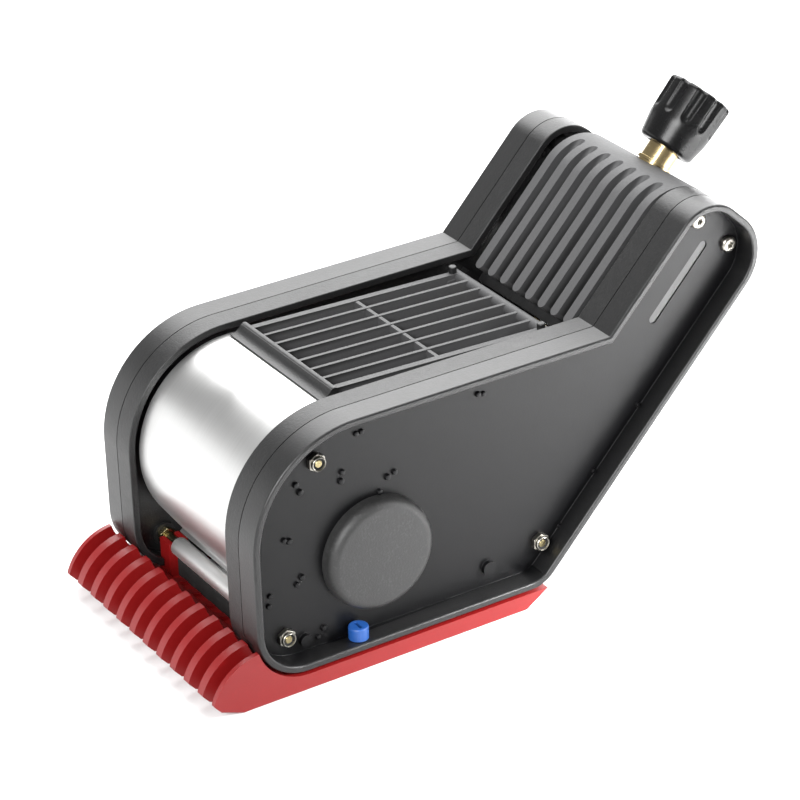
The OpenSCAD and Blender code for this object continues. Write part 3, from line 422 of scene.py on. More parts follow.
def settle(piece, body, slot, *nodes, sharp=40):
    """Shades a piece, dresses it and hangs it on its body in place of its nodes; sharp is in degrees."""
    bm = bmesh.new()
    bm.from_mesh(piece.data)
    bm.normal_update()
    for face in bm.faces:
        face.smooth = True
    for edge in bm.edges:
        edge.smooth = edge.calc_face_angle(0) < math.radians(sharp)
    bm.to_mesh(piece.data)
    bm.free()
    even = piece.modifiers.new("even_normals", "WEIGHTED_NORMAL")
    even.keep_sharp = True
    make_plain(piece)
    piece.data.materials.clear()
    piece.data.materials.append(finish_of(slot))
    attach(piece, body)
    if nodes:
        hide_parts(*nodes)
    return piece


def soften(bm, width, pick=None, segments=3):
    """Rounds the sharp edges that pick accepts, and marks the outer ones for wear."""
    wear = bm.faces.layers.float.get(WEAR) or bm.faces.layers.float.new(WEAR)
    bm.normal_update()
    sharp = math.radians(28)
    edges = [edge for edge in bm.edges
             if edge.is_manifold and edge.calc_face_angle(0) > sharp and (pick is None or pick(edge))]
    if not edges:
        raise RuntimeError("no edge to round")
    made = bmesh.ops.bevel(bm, geom=edges, offset=width, offset_type="OFFSET", segments=segments, profile=0.5,
                           affect="EDGES", clamp_overlap=True, loop_slide=True)
    bm.normal_update()
    for face in made["faces"]:
        face[wear] = float(any(edge.is_convex for edge in face.edges))
    return bm


def store(piece, name, pick):
    """Stores 1 under a name on the points that pick accepts, and 0 on the others."""
    values = piece.data.attributes.new(name, "FLOAT", "POINT")
    for vert, item in zip(piece.data.vertices, values.data):
        item.value = float(pick(vert.co))


def cad_copy(node):
    """A merged copy of a node's mesh, with its flat faces joined."""
    bm = bmesh.new()
    bm.from_mesh(frame["nodes"][node].data)
    bmesh.ops.remove_doubles(bm, verts=bm.verts, dist=0.002 * MM)
    bmesh.ops.dissolve_limit(bm, angle_limit=math.radians(0.4), verts=bm.verts, edges=bm.edges)
    bmesh.ops.dissolve_degenerate(bm, edges=bm.edges, dist=0.005 * MM)
    return bm


def middle_of(edge):
    """Middle point of an edge."""
    return (edge.verts[0].co + edge.verts[1].co) / 2


def at_x(*planes):
    """Picks edges that lie in one of the planes across X, on either side."""
    def pick(edge):
        return any(all(abs(abs(vert.co.x) - x) < 0.01 * MM for vert in edge.verts) for x in planes)
    return pick


def soft_copy(name, body, slot, node, width, pick=None, segments=3):
    """A node's copy with rounded edges, settled in its place."""
    bm = soften(cad_copy(node), width, pick, segments)
    return settle(new_object(name, bm), body, slot, node)


def from_front(back, up):
    """Y and Z of a place, from millimetres behind the front face and above the ground."""
    return (FRONT_Y + back * MM, up * MM)


def polar(centre, radius, degrees):
    """Point at a distance and an angle from a centre."""
    angle = math.radians(degrees)
    return (centre[0] + radius * math.cos(angle), centre[1] + radius * math.sin(angle))


def arc(centre, radius, start, end, steps):
    """Points of an arc, with angles in degrees."""
    return [polar(centre, radius, start + (end - start) * i / steps) for i in range(steps + 1)]


def prism(outline, x0, x1):
    """Closed bar across the head over an outline in Y and Z."""
    bm = bmesh.new()
    near = [bm.verts.new((x0, y, z)) for y, z in outline]
    far = [bm.verts.new((x1, y, z)) for y, z in outline]
    bm.faces.new(near)
    bm.faces.new(list(reversed(far)))
    for i in range(len(outline)):
        j = (i + 1) % len(outline)
        bm.faces.new((near[j], near[i], far[i], far[j]))
    bmesh.ops.recalc_face_normals(bm, faces=bm.faces)
    return bm


def revolve(profile, centre, axis, steps=64):
    """Turned piece: profile lists radius and height along the axis; a radius of 0 is a pole."""
    bm = bmesh.new()
    turn = Vector((0, 0, 1)).rotation_difference(Vector(axis)).to_matrix()
    rings = []
    for radius, height in profile:
        if radius == 0:
            rings.append([bm.verts.new(Vector(centre) + turn @ Vector((0, 0, height)))])
            continue
        ring = []
        for i in range(steps):
            angle = 2 * math.pi * i / steps
            spot = Vector((radius * math.cos(angle), radius * math.sin(angle), height))
            ring.append(bm.verts.new(Vector(centre) + turn @ spot))
        rings.append(ring)
    for low, high in zip(rings, rings[1:]):
        for i in range(steps):
            j = (i + 1) % steps
            if len(low) == 1:
                bm.faces.new((low[0], high[j], high[i]))
            elif len(high) == 1:
                bm.faces.new((low[i], low[j], high[0]))
            else:
                bm.faces.new((low[i], low[j], high[j], high[i]))
    bmesh.ops.remove_doubles(bm, verts=bm.verts, dist=1e-7)
    bmesh.ops.recalc_face_normals(bm, faces=bm.faces)
    return bm


def joined(*parts):
    """One bmesh from several, with their wear kept."""
    whole = bmesh.new()
    whole.faces.layers.float.new(WEAR)
    for part in parts:
        mesh = bpy.data.meshes.new("part")
        part.to_mesh(mesh)
        part.free()
        whole.from_mesh(mesh)
        bpy.data.meshes.remove(mesh)
    return whole


def new_tree(name, *inputs):
    """A geometry tree with named inputs; gives its sketch and a wire for each input."""
    tree = bpy.data.node_groups.new(name, "GeometryNodeTree")
    for label, kind in inputs:
        tree.interface.new_socket(label, in_out="INPUT", socket_type="NodeSocket" + kind)
    tree.interface.new_socket("Geometry", in_out="OUTPUT", socket_type="NodeSocketGeometry")
    sketch = Sketch(tree)
    given = tree.nodes.new("NodeGroupInput")
    return sketch, {label: Wire(sketch, given.outputs[label]) for label, _ in inputs}


def end_tree(sketch, geometry, material):
    """Realises the instances, sets the material and ends the tree."""
    real = sketch.node("GeometryNodeRealizeInstances", None, {"Geometry": geometry})
    dressed = sketch.node("GeometryNodeSetMaterial", None, {"Geometry": real, "Material": material})
    output = sketch.tree.nodes.new("NodeGroupOutput")
    sketch.feed(output.inputs["Geometry"], dressed)
    return sketch.tree


def run_tree(name, tree, base, values):
    """A plain mesh object that the tree makes from a base mesh and named values."""
    piece = new_object(name, base)
    modifier = piece.modifiers.new(name, "NODES")
    modifier.node_group = tree
    for item in tree.interface.items_tree:
        if item.in_out == "INPUT" and item.name in values:
            modifier[item.identifier] = values[item.name]
    return make_plain(piece)


def row_tree():
    """Copies of one piece in a straight row."""
    sketch, given = new_tree("row", ("Piece", "Object"), ("Count", "Int"), ("Start", "Vector"), ("Step", "Vector"),
                             ("Material", "Material"))
    piece = sketch.node("GeometryNodeObjectInfo", None, {"Object": given["Piece"]}, "Geometry")
    line = sketch.node("GeometryNodeMeshLine", None, {"Count": given["Count"], "Start Location": given["Start"],
                                                      "Offset": given["Step"]})
    copies = sketch.node("GeometryNodeInstanceOnPoints", None, {"Points": line, "Instance": piece})
    return end_tree(sketch, copies, given["Material"])


def spots_tree():
    """Copies of one piece on the points of the base mesh, each scaled by its own size."""
    sketch, given = new_tree("spots", ("Spots", "Geometry"), ("Piece", "Object"), ("Material", "Material"))
    piece = sketch.node("GeometryNodeObjectInfo", None, {"Object": given["Piece"]}, "Geometry")
    size = sketch.node("GeometryNodeInputNamedAttribute", {"data_type": "FLOAT"}, {"Name": SIZE})
    copies = sketch.node("GeometryNodeInstanceOnPoints", None, {"Points": given["Spots"], "Instance": piece,
                                                                "Scale": size})
    return end_tree(sketch, copies, given["Material"])


def repeat_row(name, part, number, start, step, slot):
    """A row of copies of a bmesh part."""
    source = new_object("part", part)
    made = run_tree(name, row_tree(), bmesh.new(), {"Piece": source, "Count": number, "Start": start, "Step": step,
                                                    "Material": finish_of(slot)})
    bpy.data.objects.remove(source)
    return made


def repeat_spots(name, part, spots, slot, sizes=None):
    """Copies of a bmesh part on a list of spots."""
    source = new_object("part", part)
    base = bmesh.new()
    size = base.verts.layers.float.new(SIZE)
    for i, spot in enumerate(spots):
        base.verts.new(spot)[size] = sizes[i] if sizes else 1.0
    made = run_tree(name, spots_tree(), base, {"Piece": source, "Material": finish_of(slot)})
    bpy.data.objects.remove(source)
    return made


def absorb(piece, *others):
    """Joins other pieces into one mesh object."""
    bm = bmesh.new()
    for part in (piece, *others):
        bm.from_mesh(part.data)
    bm.to_mesh(piece.data)
    bm.free()
    for part in others:
        bpy.data.objects.remove(part)
    return piece


# Tie bolts in millimetres: distance behind the front face and height above the ground
UPPER_BOLT = (39.0, 106.6)
ROLLER_BOLT = (19.8, 23.2)
REAR_BOLT = (157.13, 26.6)

# Small moulded nubs on a panel: distance behind the front face, height above the ground, share of the full width
PANEL_NUBS = ((28.7, 97.9, 1.0), (30.7, 93.6, 1.1), (52.5, 96.7, 1.0), (51.7, 92.4, 1.1), (75.8, 86.8, 1.1),
              (79.6, 88.2, 1.0), (71.4, 80.6, 1.0), (21.5, 72.2, 0.9), (24.0, 71.0, 1.1), (29.7, 50.6, 1.1),
              (27.0, 47.7, 1.0), (13.0, 46.4, 0.9), (12.2, 41.5, 0.9), (39.8, 20.7, 1.1), (36.7, 17.0, 0.9),
              (60.4, 113.5, 0.9), (63.2, 113.7, 0.9), (124.8, 113.4, 1.0), (127.8, 112.8, 0.9), (169.0, 30.5, 0.9),
              (213.8, 80.8, 0.9), (188.5, 53.9, 0.9))


def nub_part(width, height):
    """A low pin with a rounded top, standing along X."""
    r, root = width / 2, -0.3 * MM
    profile = [(0, root), (r, root), (r * 0.95, height * 0.55), (r * 0.82, height * 0.86), (r * 0.5, height),
               (0, height)]
    return revolve(profile, (0, 0, 0), (1, 0, 0), 20)


def make_side_walls(sizes):
    """Outer covers with their panels, nubs and lips, and the inner frames behind them."""
    shortest_seam, panel_depth, panel_margin = 0.4 * MM, 2.6 * MM, 0.1 * MM

    def inner_corner(edge):
        return at_x(FLOOR_X)(edge) and not edge.is_convex

    def seam(edge):
        return at_x(PART_X)(edge) and edge.calc_length() > shortest_seam

    for side, sign in SIDES.items():
        bm = cad_copy("side_cover_" + side)
        soften(bm, sizes.lip_edge, at_x(LIP_X))
        soften(bm, sizes.wall_fillet, inner_corner)
        soften(bm, sizes.seam_edge, seam, 2)
        cover = new_object("cover_" + side, bm)
        spots = [(sign * FLOOR_X, *from_front(back, up)) for back, up, _ in PANEL_NUBS]
        part = nub_part(sizes.nub_width, sizes.nub_height)
        if sign < 0:
            bmesh.ops.rotate(part, verts=part.verts, matrix=Matrix.Rotation(math.pi, 3, "Z"))
        nubs = repeat_spots("nubs_" + side, part, spots, "cover_black", [share for *_, share in PANEL_NUBS])
        absorb(cover, nubs)
        store(cover, PANEL, lambda spot: -panel_margin < abs(spot.x) - FLOOR_X < panel_depth)
        settle(cover, "head", "cover_black", "side_cover_" + side)
        bm = cad_copy("side_frame_" + side)
        soften(bm, 0.5 * sizes.lip_edge, at_x(INNER_LIP_X))
        soften(bm, sizes.seam_edge, seam, 2)
        settle(new_object("frame_" + side, bm), "head", "moulded_black", "side_frame_" + side)


def make_caps():
    """Round caps with a crowned face, and the long inlays on the tower."""
    edge, crown, step = 4.6 * MM, 0.25 * MM, 4 * MM
    for side, sign in SIDES.items():
        low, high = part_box("side_cap_" + side)
        centre = (0.0, (low.y + high.y) / 2, (low.z + high.z) / 2)
        radius = (high.y - low.y) / 2
        neck, flat = radius - step, radius - edge
        top = max(abs(low.x), abs(high.x))
        rim = arc((flat, top - crown - edge), edge, 0, 90, 10)
        face = [(flat * share, top - crown * share ** 2) for share in (0.92, 0.75, 0.5, 0.25, 0)]
        profile = [(0, PART_X), (neck, PART_X), (neck, FLOOR_X), (radius, FLOOR_X), *rim, *face]
        cap = revolve(profile, centre, (sign, 0, 0), 96)
        settle(new_object("cap_" + side, cap), "head", "cap_grey", "side_cap_" + side)
    inlays = soft_copy("inlays", "head", "satin_steel", "side_inlays", 0.15 * MM, None, 2)
    store(inlays, MATTE_AND_LIT_TOP, lambda spot: True)


# The hood's curve, in degrees from the rear horizontal: its end under the grate, the turn into its straight part and
# the turn at which the pin holes of its end plates lie
HOOD_END = 79
HOOD_TURN = 215
HOOD_PIN_TURN = 214


def cut_holes(piece, *cutters):
    """Cuts closed bmesh parts out of a piece."""
    for part in cutters:
        cutter = new_object("cutter", part)
        hole = piece.modifiers.new("hole", "BOOLEAN")
        hole.object = cutter
        make_plain(piece)
        bpy.data.objects.remove(cutter)
    return piece


def rod(radius, x0, x1, y, z, edge=0.0, steps=48):
    """Round bar across the head with chamfered ends."""
    profile = [(0, x0), (radius - edge, x0), (radius, x0 + edge), (radius, x1 - edge), (radius - edge, x1), (0, x1)]
    return revolve(profile, (0, y, z), (1, 0, 0), steps)


def make_hood(sizes):
    """Curved sheet hood: straight lower part, bend, narrow lip and two end plates."""
    low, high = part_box("hood")
    radius, sheet, lip, bend = sizes.hood_radius, sizes.hood_sheet, sizes.hood_lip, sizes.hood_bend
    plate_sheet, plate_gap, pin_inset = 1.5 * MM, 0.6 * MM, 10 * MM
    bolt_hole, pin_hole = 2.7 * MM, 2.65 * MM
    centre = (low.y + radius, high.z - radius)
    turn = math.radians(HOOD_TURN)
    run = (centre[1] + (radius + lip) * math.sin(turn) - low.z) / -math.cos(turn)

    def beside(out, down):
        """Point by its distance from the middle and along the straight part."""
        return (centre[0] + out * math.cos(turn) - down * math.sin(turn),
                centre[1] + out * math.sin(turn) + down * math.cos(turn))

    def bent(reach, angles):
        """Points of the bend above the lip."""
        return [beside(*polar((radius + bend, run - sheet - bend), reach, angle)) for angle in angles]

    steps = 96
    outline = [*arc(centre, radius, HOOD_END, HOOD_TURN, steps), *bent(bend, range(180, 89, -15)),
               beside(radius + lip, run - sheet), beside(radius + lip, run), *bent(bend + sheet, range(90, 181, 15)),
               *reversed(arc(centre, radius - sheet, HOOD_END, HOOD_TURN, steps))]
    piece = new_object("hood_sheet", soften(prism(outline, low.x, high.x), 0.25 * MM, at_x(high.x), 2))
    middle = radius - sheet / 2
    side = [*arc(centre, middle, HOOD_END + 0.5, HOOD_TURN, steps), beside(middle, run - plate_gap),
            beside(radius - sheet, run - plate_gap)]
    pin = polar(centre, radius - pin_inset, HOOD_PIN_TURN)
    upper = from_front(*UPPER_BOLT)
    for sign in SIDES.values():
        x0, x1 = sorted((sign * high.x, sign * (high.x - plate_sheet)))
        plate = new_object("plate", prism(side, x0, x1))
        cut_holes(plate, rod(bolt_hole, x0 - MM, x1 + MM, *upper), rod(pin_hole, x0 - MM, x1 + MM, *pin))
        absorb(piece, plate)
    settle(piece, "head", "hood_steel", "hood")


def make_grate(sizes):
    """Ridged front bar, rear rod, cross bar and slats of the grate, with its pegs."""
    low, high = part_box("grate")
    slot = "moulded_black"
    edge = 0.3 * MM

    def bar(outline, x0, x1):
        return soften(prism([from_front(*spot) for spot in outline], x0, x1), edge, None, 2)

    def block(back, up, far, over):
        return [(back, up), (far, up), (far, over), (back, over)]

    # Distances behind the front face and heights above the ground, in millimetres
    ridge, foot, rear_back, rear_up = (61.6, 126.0), 123.3, 177.0, 120.35
    top, rear_top, deep, front = 126.5, 122.7, 64.35, 53.9
    ear_width = 6 * MM
    depth = sizes.slat_depth / MM
    slat = [(ridge[0], top), (rear_back, rear_top), (rear_back, rear_top - 5.5), (rear_back - 9, 123.08 - depth),
            (deep, top - depth), (deep, foot), (ridge[0], foot)]
    number = sizes.slat_count
    half = sizes.slat_width / 2
    step = Vector((sizes.slat_pitch, 0, 0))
    inner = repeat_row("slats", bar(slat, -half, half), number - 2, step * (3 - number) / 2, step, slot)
    half = sizes.outer_slat_width / 2
    outer = repeat_row("outer_slats", bar(slat, -half, half), 2, step * (1 - number) / 2, step * (number - 1), slot)
    face = [(front, foot), (front, foot + 0.6), *arc((front, foot + 7.6), 7, -84, -30, 9),
            *arc(ridge, 2, 135, 0, 9), (ridge[0] + 2, foot)]
    side = high.x - sizes.outer_slat_width
    cross = block(118.3, 119.6, 120.3, 124.2)
    parts = [bar(face, low.x, high.x), bar(cross, -side, side),
             rod(sizes.rear_rod / 2, low.x, high.x, *from_front(rear_back, rear_up), 0.5 * MM)]
    ear = block(169.9, 113.1, 178.9, rear_up)
    for sign in SIDES.values():
        parts.append(bar(ear, *sorted((sign * high.x, sign * (high.x - ear_width)))))
    piece = absorb(inner, outer, new_object("bars", joined(*parts)))
    piece.name = "grate_bars"
    behind_bar = from_front(ridge[0] + 2.2, 0)[0]
    # The slats behind the front bar are made rougher and painted lighter, as a painted highlight for the light that
    # their tops catch.
    store(piece, MATTE_AND_LIT_TOP, lambda spot: spot.y > behind_bar)
    settle(piece, "head", slot, "grate")
    soft_copy("pegs", "head", slot, "grate_pegs", 0.6 * MM)


def make_ribbed_cover(sizes):
    """Ribbed tower cover and the flat wall on the back slope."""
    round_run, top, margin = -33.8 * MM, 24.5 * MM, 0.6 * MM
    upright = Vector((1, 0, 0)).cross(INLET_AXIS)

    def on_top(spot):
        """Whether a point lies on the ribs' tops or the round crest."""
        run = (spot - INLET).dot(INLET_AXIS) - round_run
        return math.hypot(max(run, 0), (spot - INLET).dot(upright)) > top - margin

    cover = new_object("tower_cover", soften(cad_copy("ribbed_cover"), sizes.rib_edge))
    # The rib tops and the crest are made rougher and painted lighter than the grooves, as a painted highlight for the
    # light that the ribs catch.
    store(cover, MATTE_AND_LIT_TOP, on_top)
    settle(cover, "head", "moulded_black", "ribbed_cover")
    soft_copy("rear_wall", "head", "moulded_black", "back_panel", 0.5 * MM)


def make_shoe(sizes):
    """Finned skid shoe, its blue studs and the rubber strip under the roller."""
    stud = Vector(JOINTS["shoe_stud_right_turn"]["pos_m"])
    stud_room, shortest = 9 * MM, 0.8 * MM

    def clear_of_stud(edge):
        spot = middle_of(edge)
        return math.hypot(abs(spot.x) - stud.x, spot.y - stud.y) > stud_room and edge.calc_length() > shortest

    soft_copy("shoe", "head", "shoe_red", "skid_shoe", sizes.fin_edge, clear_of_stud)
    for side in SIDES:
        soft_copy("stud_" + side, "shoe_stud_" + side, "stud_blue", "shoe_stud_" + side, 0.25 * MM)
    soft_copy("seal", "head", "seal_rubber", "front_seal", 0.4 * MM)


def make_roller():
    """Roller tube and the plated nuts at its ends."""
    soft_copy("roller", "front_roller", "satin_steel", "front_roller", 0.5 * MM)
    soft_copy("roller_end_nuts", "head", "yellow_zinc", "roller_nuts", 0.3 * MM)


def lock_nut_part(width):
    """Hexagon lock nut with rounded corners and a crimped collar, standing along X on its seat."""
    flat, hexagon_height = 0.8 * width, 2.8 * MM
    corners = arc((0, 0), flat / math.cos(math.pi / 6), 30, 330, 5)
    hexagon = soften(prism(corners, 0, hexagon_height), 0.35 * MM)
    ring = 0.73 * width
    rim = [(ring, 0.5), (ring, 3.7), (ring - 0.12 * MM, 4.05), (ring - 0.3 * MM, 4.3), (ring - 0.5 * MM, 4.4),
           (ring - 0.7 * MM, 4.3), (ring - 0.8 * MM, 4.05), (ring - 0.82 * MM, 3.4)]
    collar = revolve([(0, 0.5 * MM), *((r, x * MM) for r, x in rim), (0, 3.4 * MM)], (0, 0, 0), (1, 0, 0), 40)
    return joined(hexagon, collar)


def make_fasteners(sizes):
    """Tie bolts with their lock nuts and dark inserts, spacers and tower screws."""
    tip_inset, tip_chamfer, head_edge = 0.3 * MM, 0.9 * MM, 0.4 * MM
    insert_radius, insert_low, insert_high = 2.9 * MM, 3.0 * MM, 3.45 * MM
    bm = cad_copy("tie_bolts")
    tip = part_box("tie_bolts")[1].x
    for vert in bm.verts:
        if vert.co.x > tip - 0.01 * MM:
            vert.co.x -= tip_inset
    soften(bm, tip_chamfer, lambda edge: middle_of(edge).x > 0, 1)
    soften(bm, head_edge, lambda edge: middle_of(edge).x < 0)
    settle(new_object("bolts", bm), "head", "yellow_zinc", "tie_bolts", sharp=30)
    spots = [(FLOOR_X, *from_front(*bolt)) for bolt in (UPPER_BOLT, ROLLER_BOLT, REAR_BOLT)]
    nuts = repeat_spots("nuts", lock_nut_part(sizes.bolt_width), spots, "zinc_steel")
    settle(nuts, "head", "zinc_steel", "lock_nuts")
    disc = revolve([(0, insert_low), (insert_radius, insert_low), (insert_radius, insert_high), (0, insert_high)],
                   (0, 0, 0), (1, 0, 0), 40)
    settle(repeat_spots("nut_inserts", disc, spots, "seal_rubber"), "head", "seal_rubber")
    soft_copy("spacers", "head", "satin_steel", "spacer_tubes", 0.4 * MM)
    soft_copy("screws", "head", "zinc_steel", "tower_screws", 0.15 * MM)


def flute_tree():
    """Outer skin of the union nut: it widens to a shoulder, and round-ended flutes run to its wide end."""
    sketch, given = new_tree("fluted_skin", ("Length", "Float"), ("Narrow", "Float"), ("Shoulder", "Float"),
                             ("Wide", "Float"), ("Flutes", "Float"), ("Flute radius", "Float"),
                             ("Flute depth", "Float"), ("Edge", "Float"), ("Place", "Vector"), ("Turn", "Vector"),
                             ("Material", "Material"))
    around, along = 320, 84
    # Shares of the length where the shoulder and the flutes start, how far rows crowd to the ends, and blends
    shoulder, foot, crowding = 0.37, 0.41, 0.8
    shoulder_blend, flute_blend, first_flute = 0.8 * MM, 0.5 * MM, math.radians(5)
    grid = sketch.node("GeometryNodeMeshGrid", None, {"Size X": 1.0, "Size Y": 1.0, "Vertices X": around + 1,
                                                      "Vertices Y": along})
    spot = sketch.node("GeometryNodeInputPosition")
    angle = (sketch.node("ShaderNodeSeparateXYZ", None, {0: spot}, "X") + 0.5) * (2 * math.pi)
    row = sketch.node("ShaderNodeSeparateXYZ", None, {0: spot}, "Y") + 0.5
    crowd = (row * (2 * math.pi)).math("SINE") * (crowding / (2 * math.pi))
    share = row - crowd
    run = share * given["Length"]
    steep = given["Narrow"] + (given["Shoulder"] - given["Narrow"]) * (share / shoulder)
    gentle = given["Shoulder"] + (given["Wide"] - given["Shoulder"]) * ((share - shoulder) / (1 - shoulder))
    cone = steep.math("SMOOTH_MIN", gentle, shoulder_blend) / 2
    pitch = given["Flutes"].math("POWER", -1.0) * (2 * math.pi)
    off = (angle - first_flute).math("WRAP", pitch / 2, pitch / -2)
    centre = given["Wide"] / 2 - given["Flute depth"] + given["Flute radius"]
    reach = centre * off.math("SINE")
    short = (given["Length"] * foot + given["Flute radius"] - run).math("MAXIMUM", 0.0)
    chord = (given["Flute radius"] * given["Flute radius"] - reach * reach - short * short).math("SQRT")
    flute = centre * off.math("COSINE") - chord
    skin = cone.math("SMOOTH_MIN", flute, flute_blend)
    edge = given["Edge"]
    end = run.math("MINIMUM", given["Length"] - run).math("MINIMUM", edge)
    inset = edge - (edge * edge - (edge - end) * (edge - end)).math("SQRT")
    radius = skin - inset
    place = sketch.node("ShaderNodeCombineXYZ", None, {"X": radius * angle.math("COSINE"), "Y": run,
                                                       "Z": radius * angle.math("SINE")})
    skin = sketch.node("GeometryNodeSetPosition", None, {"Geometry": grid, "Position": place})
    seam = sketch.node("GeometryNodeMergeByDistance", None, {"Geometry": skin, "Distance": 0.001 * MM})
    moved = sketch.node("GeometryNodeTransform", None, {"Geometry": seam, "Translation": given["Place"],
                                                        "Rotation": given["Turn"]})
    return end_tree(sketch, moved, given["Material"])


def close_bore(piece, steps):
    """Carries the wide end's edge inwards over a list of radius and run, then joins it to the narrow end."""
    bm = bmesh.new()
    bm.from_mesh(piece.data)
    rim = [edge for edge in bm.edges if edge.is_boundary]
    half = [edge for edge in rim if (middle_of(edge) - INLET).dot(INLET_AXIS) > steps[0][1] / 2]
    narrow = [edge for edge in rim if edge not in half]
    for radius, run in steps:
        grown = bmesh.ops.extrude_edge_only(bm, edges=half)["geom"]
        half = [item for item in grown if isinstance(item, bmesh.types.BMEdge)]
        for vert in (item for item in grown if isinstance(item, bmesh.types.BMVert)):
            spot = vert.co - INLET
            out = spot - INLET_AXIS * spot.dot(INLET_AXIS)
            vert.co = INLET + INLET_AXIS * run + out.normalized() * radius
    bmesh.ops.bridge_loops(bm, edges=half + narrow)
    bmesh.ops.recalc_face_normals(bm, faces=bm.faces)
    bm.to_mesh(piece.data)
    bm.free()
    return piece


def make_inlet(sizes):
    """Brass nipple with its seals, and the fluted union nut on its threaded core."""
    soft_copy("nipple", "head", "brass", "inlet_nipple", 0.25 * MM)
    soft_copy("jam_nut", "head", "brass", "inlet_jam_nut", 0.4 * MM)
    settle(new_object("o_ring", cad_copy("inlet_o_ring")), "head", "seal_rubber", "inlet_o_ring")
    grip = run_tree("nut_grip", flute_tree(), bmesh.new(), {
        "Length": sizes.nut_length, "Narrow": sizes.nut_narrow, "Shoulder": sizes.nut_shoulder,
        "Wide": sizes.nut_wide, "Flutes": float(sizes.nut_flutes), "Flute radius": sizes.flute_radius,
        "Flute depth": sizes.flute_depth, "Edge": 2 * MM, "Place": INLET, "Turn": (TOWER_ANGLE, 0, 0),
        "Material": finish_of("nut_black")})
    run, floor, lead = sizes.nut_length, 2 * MM, 1.5 * MM
    mouth, bore, neck = 10 * MM, 11.55 * MM, 9 * MM
    close_bore(grip, ((mouth, run), (bore, run - lead), (bore, floor), (neck, floor), (neck, 0)))
    settle(grip, "union_nut", "nut_black", "union_nut_grip", sharp=50)
    soft_copy("nut_core", "union_nut", "brass", "union_nut_core", 0.4 * MM)


def make_water_path():
    """Feed pipe, nozzle block, nozzle and their bracket."""
    soft_copy("pipe", "head", "satin_steel", "feed_pipe", 0.3 * MM)
    soft_copy("block", "head", "brass", "nozzle_block", 0.5 * MM)
    soft_copy("jet", "head", "satin_steel", "nozzle", 0.25 * MM)
    soft_copy("bracket", "head", "satin_steel", "nozzle_bracket", 0.4 * MM)


def aim(place, target):
    """Turn that points a light or camera from its place at a target."""
    return (Vector(target) - Vector(place)).to_track_quat("-Z", "Y").to_euler()


def add_softbox(name, power, place, target, width, height, spread=180):
    """Large soft light that looks at a target; spread is in degrees."""
    light = bpy.data.lights.new(name, "AREA")
    light.shape = "RECTANGLE"
    light.size = width
    light.size_y = height
    light.energy = power
    light.spread = math.radians(spread)
    box = bpy.data.objects.new(name, light)
    box.location = place
    box.rotation_euler = aim(place, target)
    bpy.context.scene.collection.objects.link(box)
    return box


def make_stage(stage):
    """Plain pale floor, soft studio light and the camera."""
    scene = bpy.context.scene
    scene.view_settings.view_transform = "Standard"
    side = stage.floor / 2
    bm = bmesh.new()
    bmesh.ops.create_grid(bm, x_segments=1, y_segments=1, size=side)
    bmesh.ops.translate(bm, verts=bm.verts, vec=(0, 0, -0.2 * MM))
    floor = new_object("floor", bm)
    paper = Finish("paper_floor", specular_ior_level=0.0, roughness=0.9)
    cloud = paper.sketch.noise(paper.place(), 3, 2)
    paper.set("Base Color", paper.sketch.mix(cloud, (0.68, 0.68, 0.68, 1), (0.7, 0.7, 0.7, 1)))
    floor.data.materials.append(paper.material)
    world = bpy.data.worlds.new("studio")
    world.use_nodes = True
    sky = world.node_tree.nodes["Background"]
    sky.inputs["Color"].default_value = (1, 1, 1, 1)
    sky.inputs["Strength"].default_value = stage.sky
    scene.world = world
    add_softbox("key", stage.key, (-1.3, 1.35, 1.3), (-1.3, 1.35, 0), 3.0, 3.0)
    add_softbox("pool", stage.pool, (0.75, 0.75, 0.5), (0.36, 0.34, 0), 0.12, 0.12, 40)
    add_softbox("front", stage.front, (1.3, -1.7, 1.3), (0.0, -0.3, 0), 1.2, 1.0, 110)
    add_softbox("back", stage.back, (-1.0, 1.9, 0.45), (0, 0, 0.2), 2.0, 0.9)
    add_softbox("card", stage.card, (-1.35, -1.15, 0.3), (0, 0, 0.2), 2.2, 0.58)
    lens = bpy.data.cameras.new("camera")
    lens.lens = stage.lens
    lens.sensor_width = 36
    lens.clip_end = 50
    camera = bpy.data.objects.new("camera", lens)
    turn = (Matrix.Rotation(stage.azimuth, 4, "Z") @ Matrix.Rotation(math.pi / 2 - stage.elevation, 4, "X")
            @ Matrix.Rotation(stage.roll, 4, "Z"))
    camera.matrix_world = Matrix.Translation(stage.place) @ turn
    scene.collection.objects.link(camera)
    scene.camera = camera


class HEAD_OT_side_walls(bpy.types.Operator):
    """Build the outer covers and inner frames."""

    bl_idname = "head.side_walls"
    bl_label = "Side Walls"
    bl_options = {"REGISTER", "UNDO"}

    def execute(self, context):
        make_side_walls(context.scene.head_sizes)
        return {"FINISHED"}


class HEAD_OT_caps(bpy.types.Operator):
    """Build the round side caps and the long inlays."""

    bl_idname = "head.caps"
    bl_label = "Caps and Inlays"
    bl_options = {"REGISTER", "UNDO"}

    def execute(self, context):
        make_caps()
        return {"FINISHED"}


class HEAD_OT_hood(bpy.types.Operator):
    """Build the curved steel hood."""

    bl_idname = "head.hood"
    bl_label = "Hood"
    bl_options = {"REGISTER", "UNDO"}

    def execute(self, context):
        make_hood(context.scene.head_sizes)
        return {"FINISHED"}


class HEAD_OT_grate(bpy.types.Operator):
    """Build the slatted grate and its pegs."""

    bl_idname = "head.grate"
    bl_label = "Grate"
    bl_options = {"REGISTER", "UNDO"}

    def execute(self, context):
        make_grate(context.scene.head_sizes)
        return {"FINISHED"}


class HEAD_OT_ribbed_cover(bpy.types.Operator):
    """Build the ribbed tower cover and the rear wall."""

    bl_idname = "head.ribbed_cover"
    bl_label = "Ribbed Cover"
    bl_options = {"REGISTER", "UNDO"}

    def execute(self, context):
        make_ribbed_cover(context.scene.head_sizes)
        return {"FINISHED"}


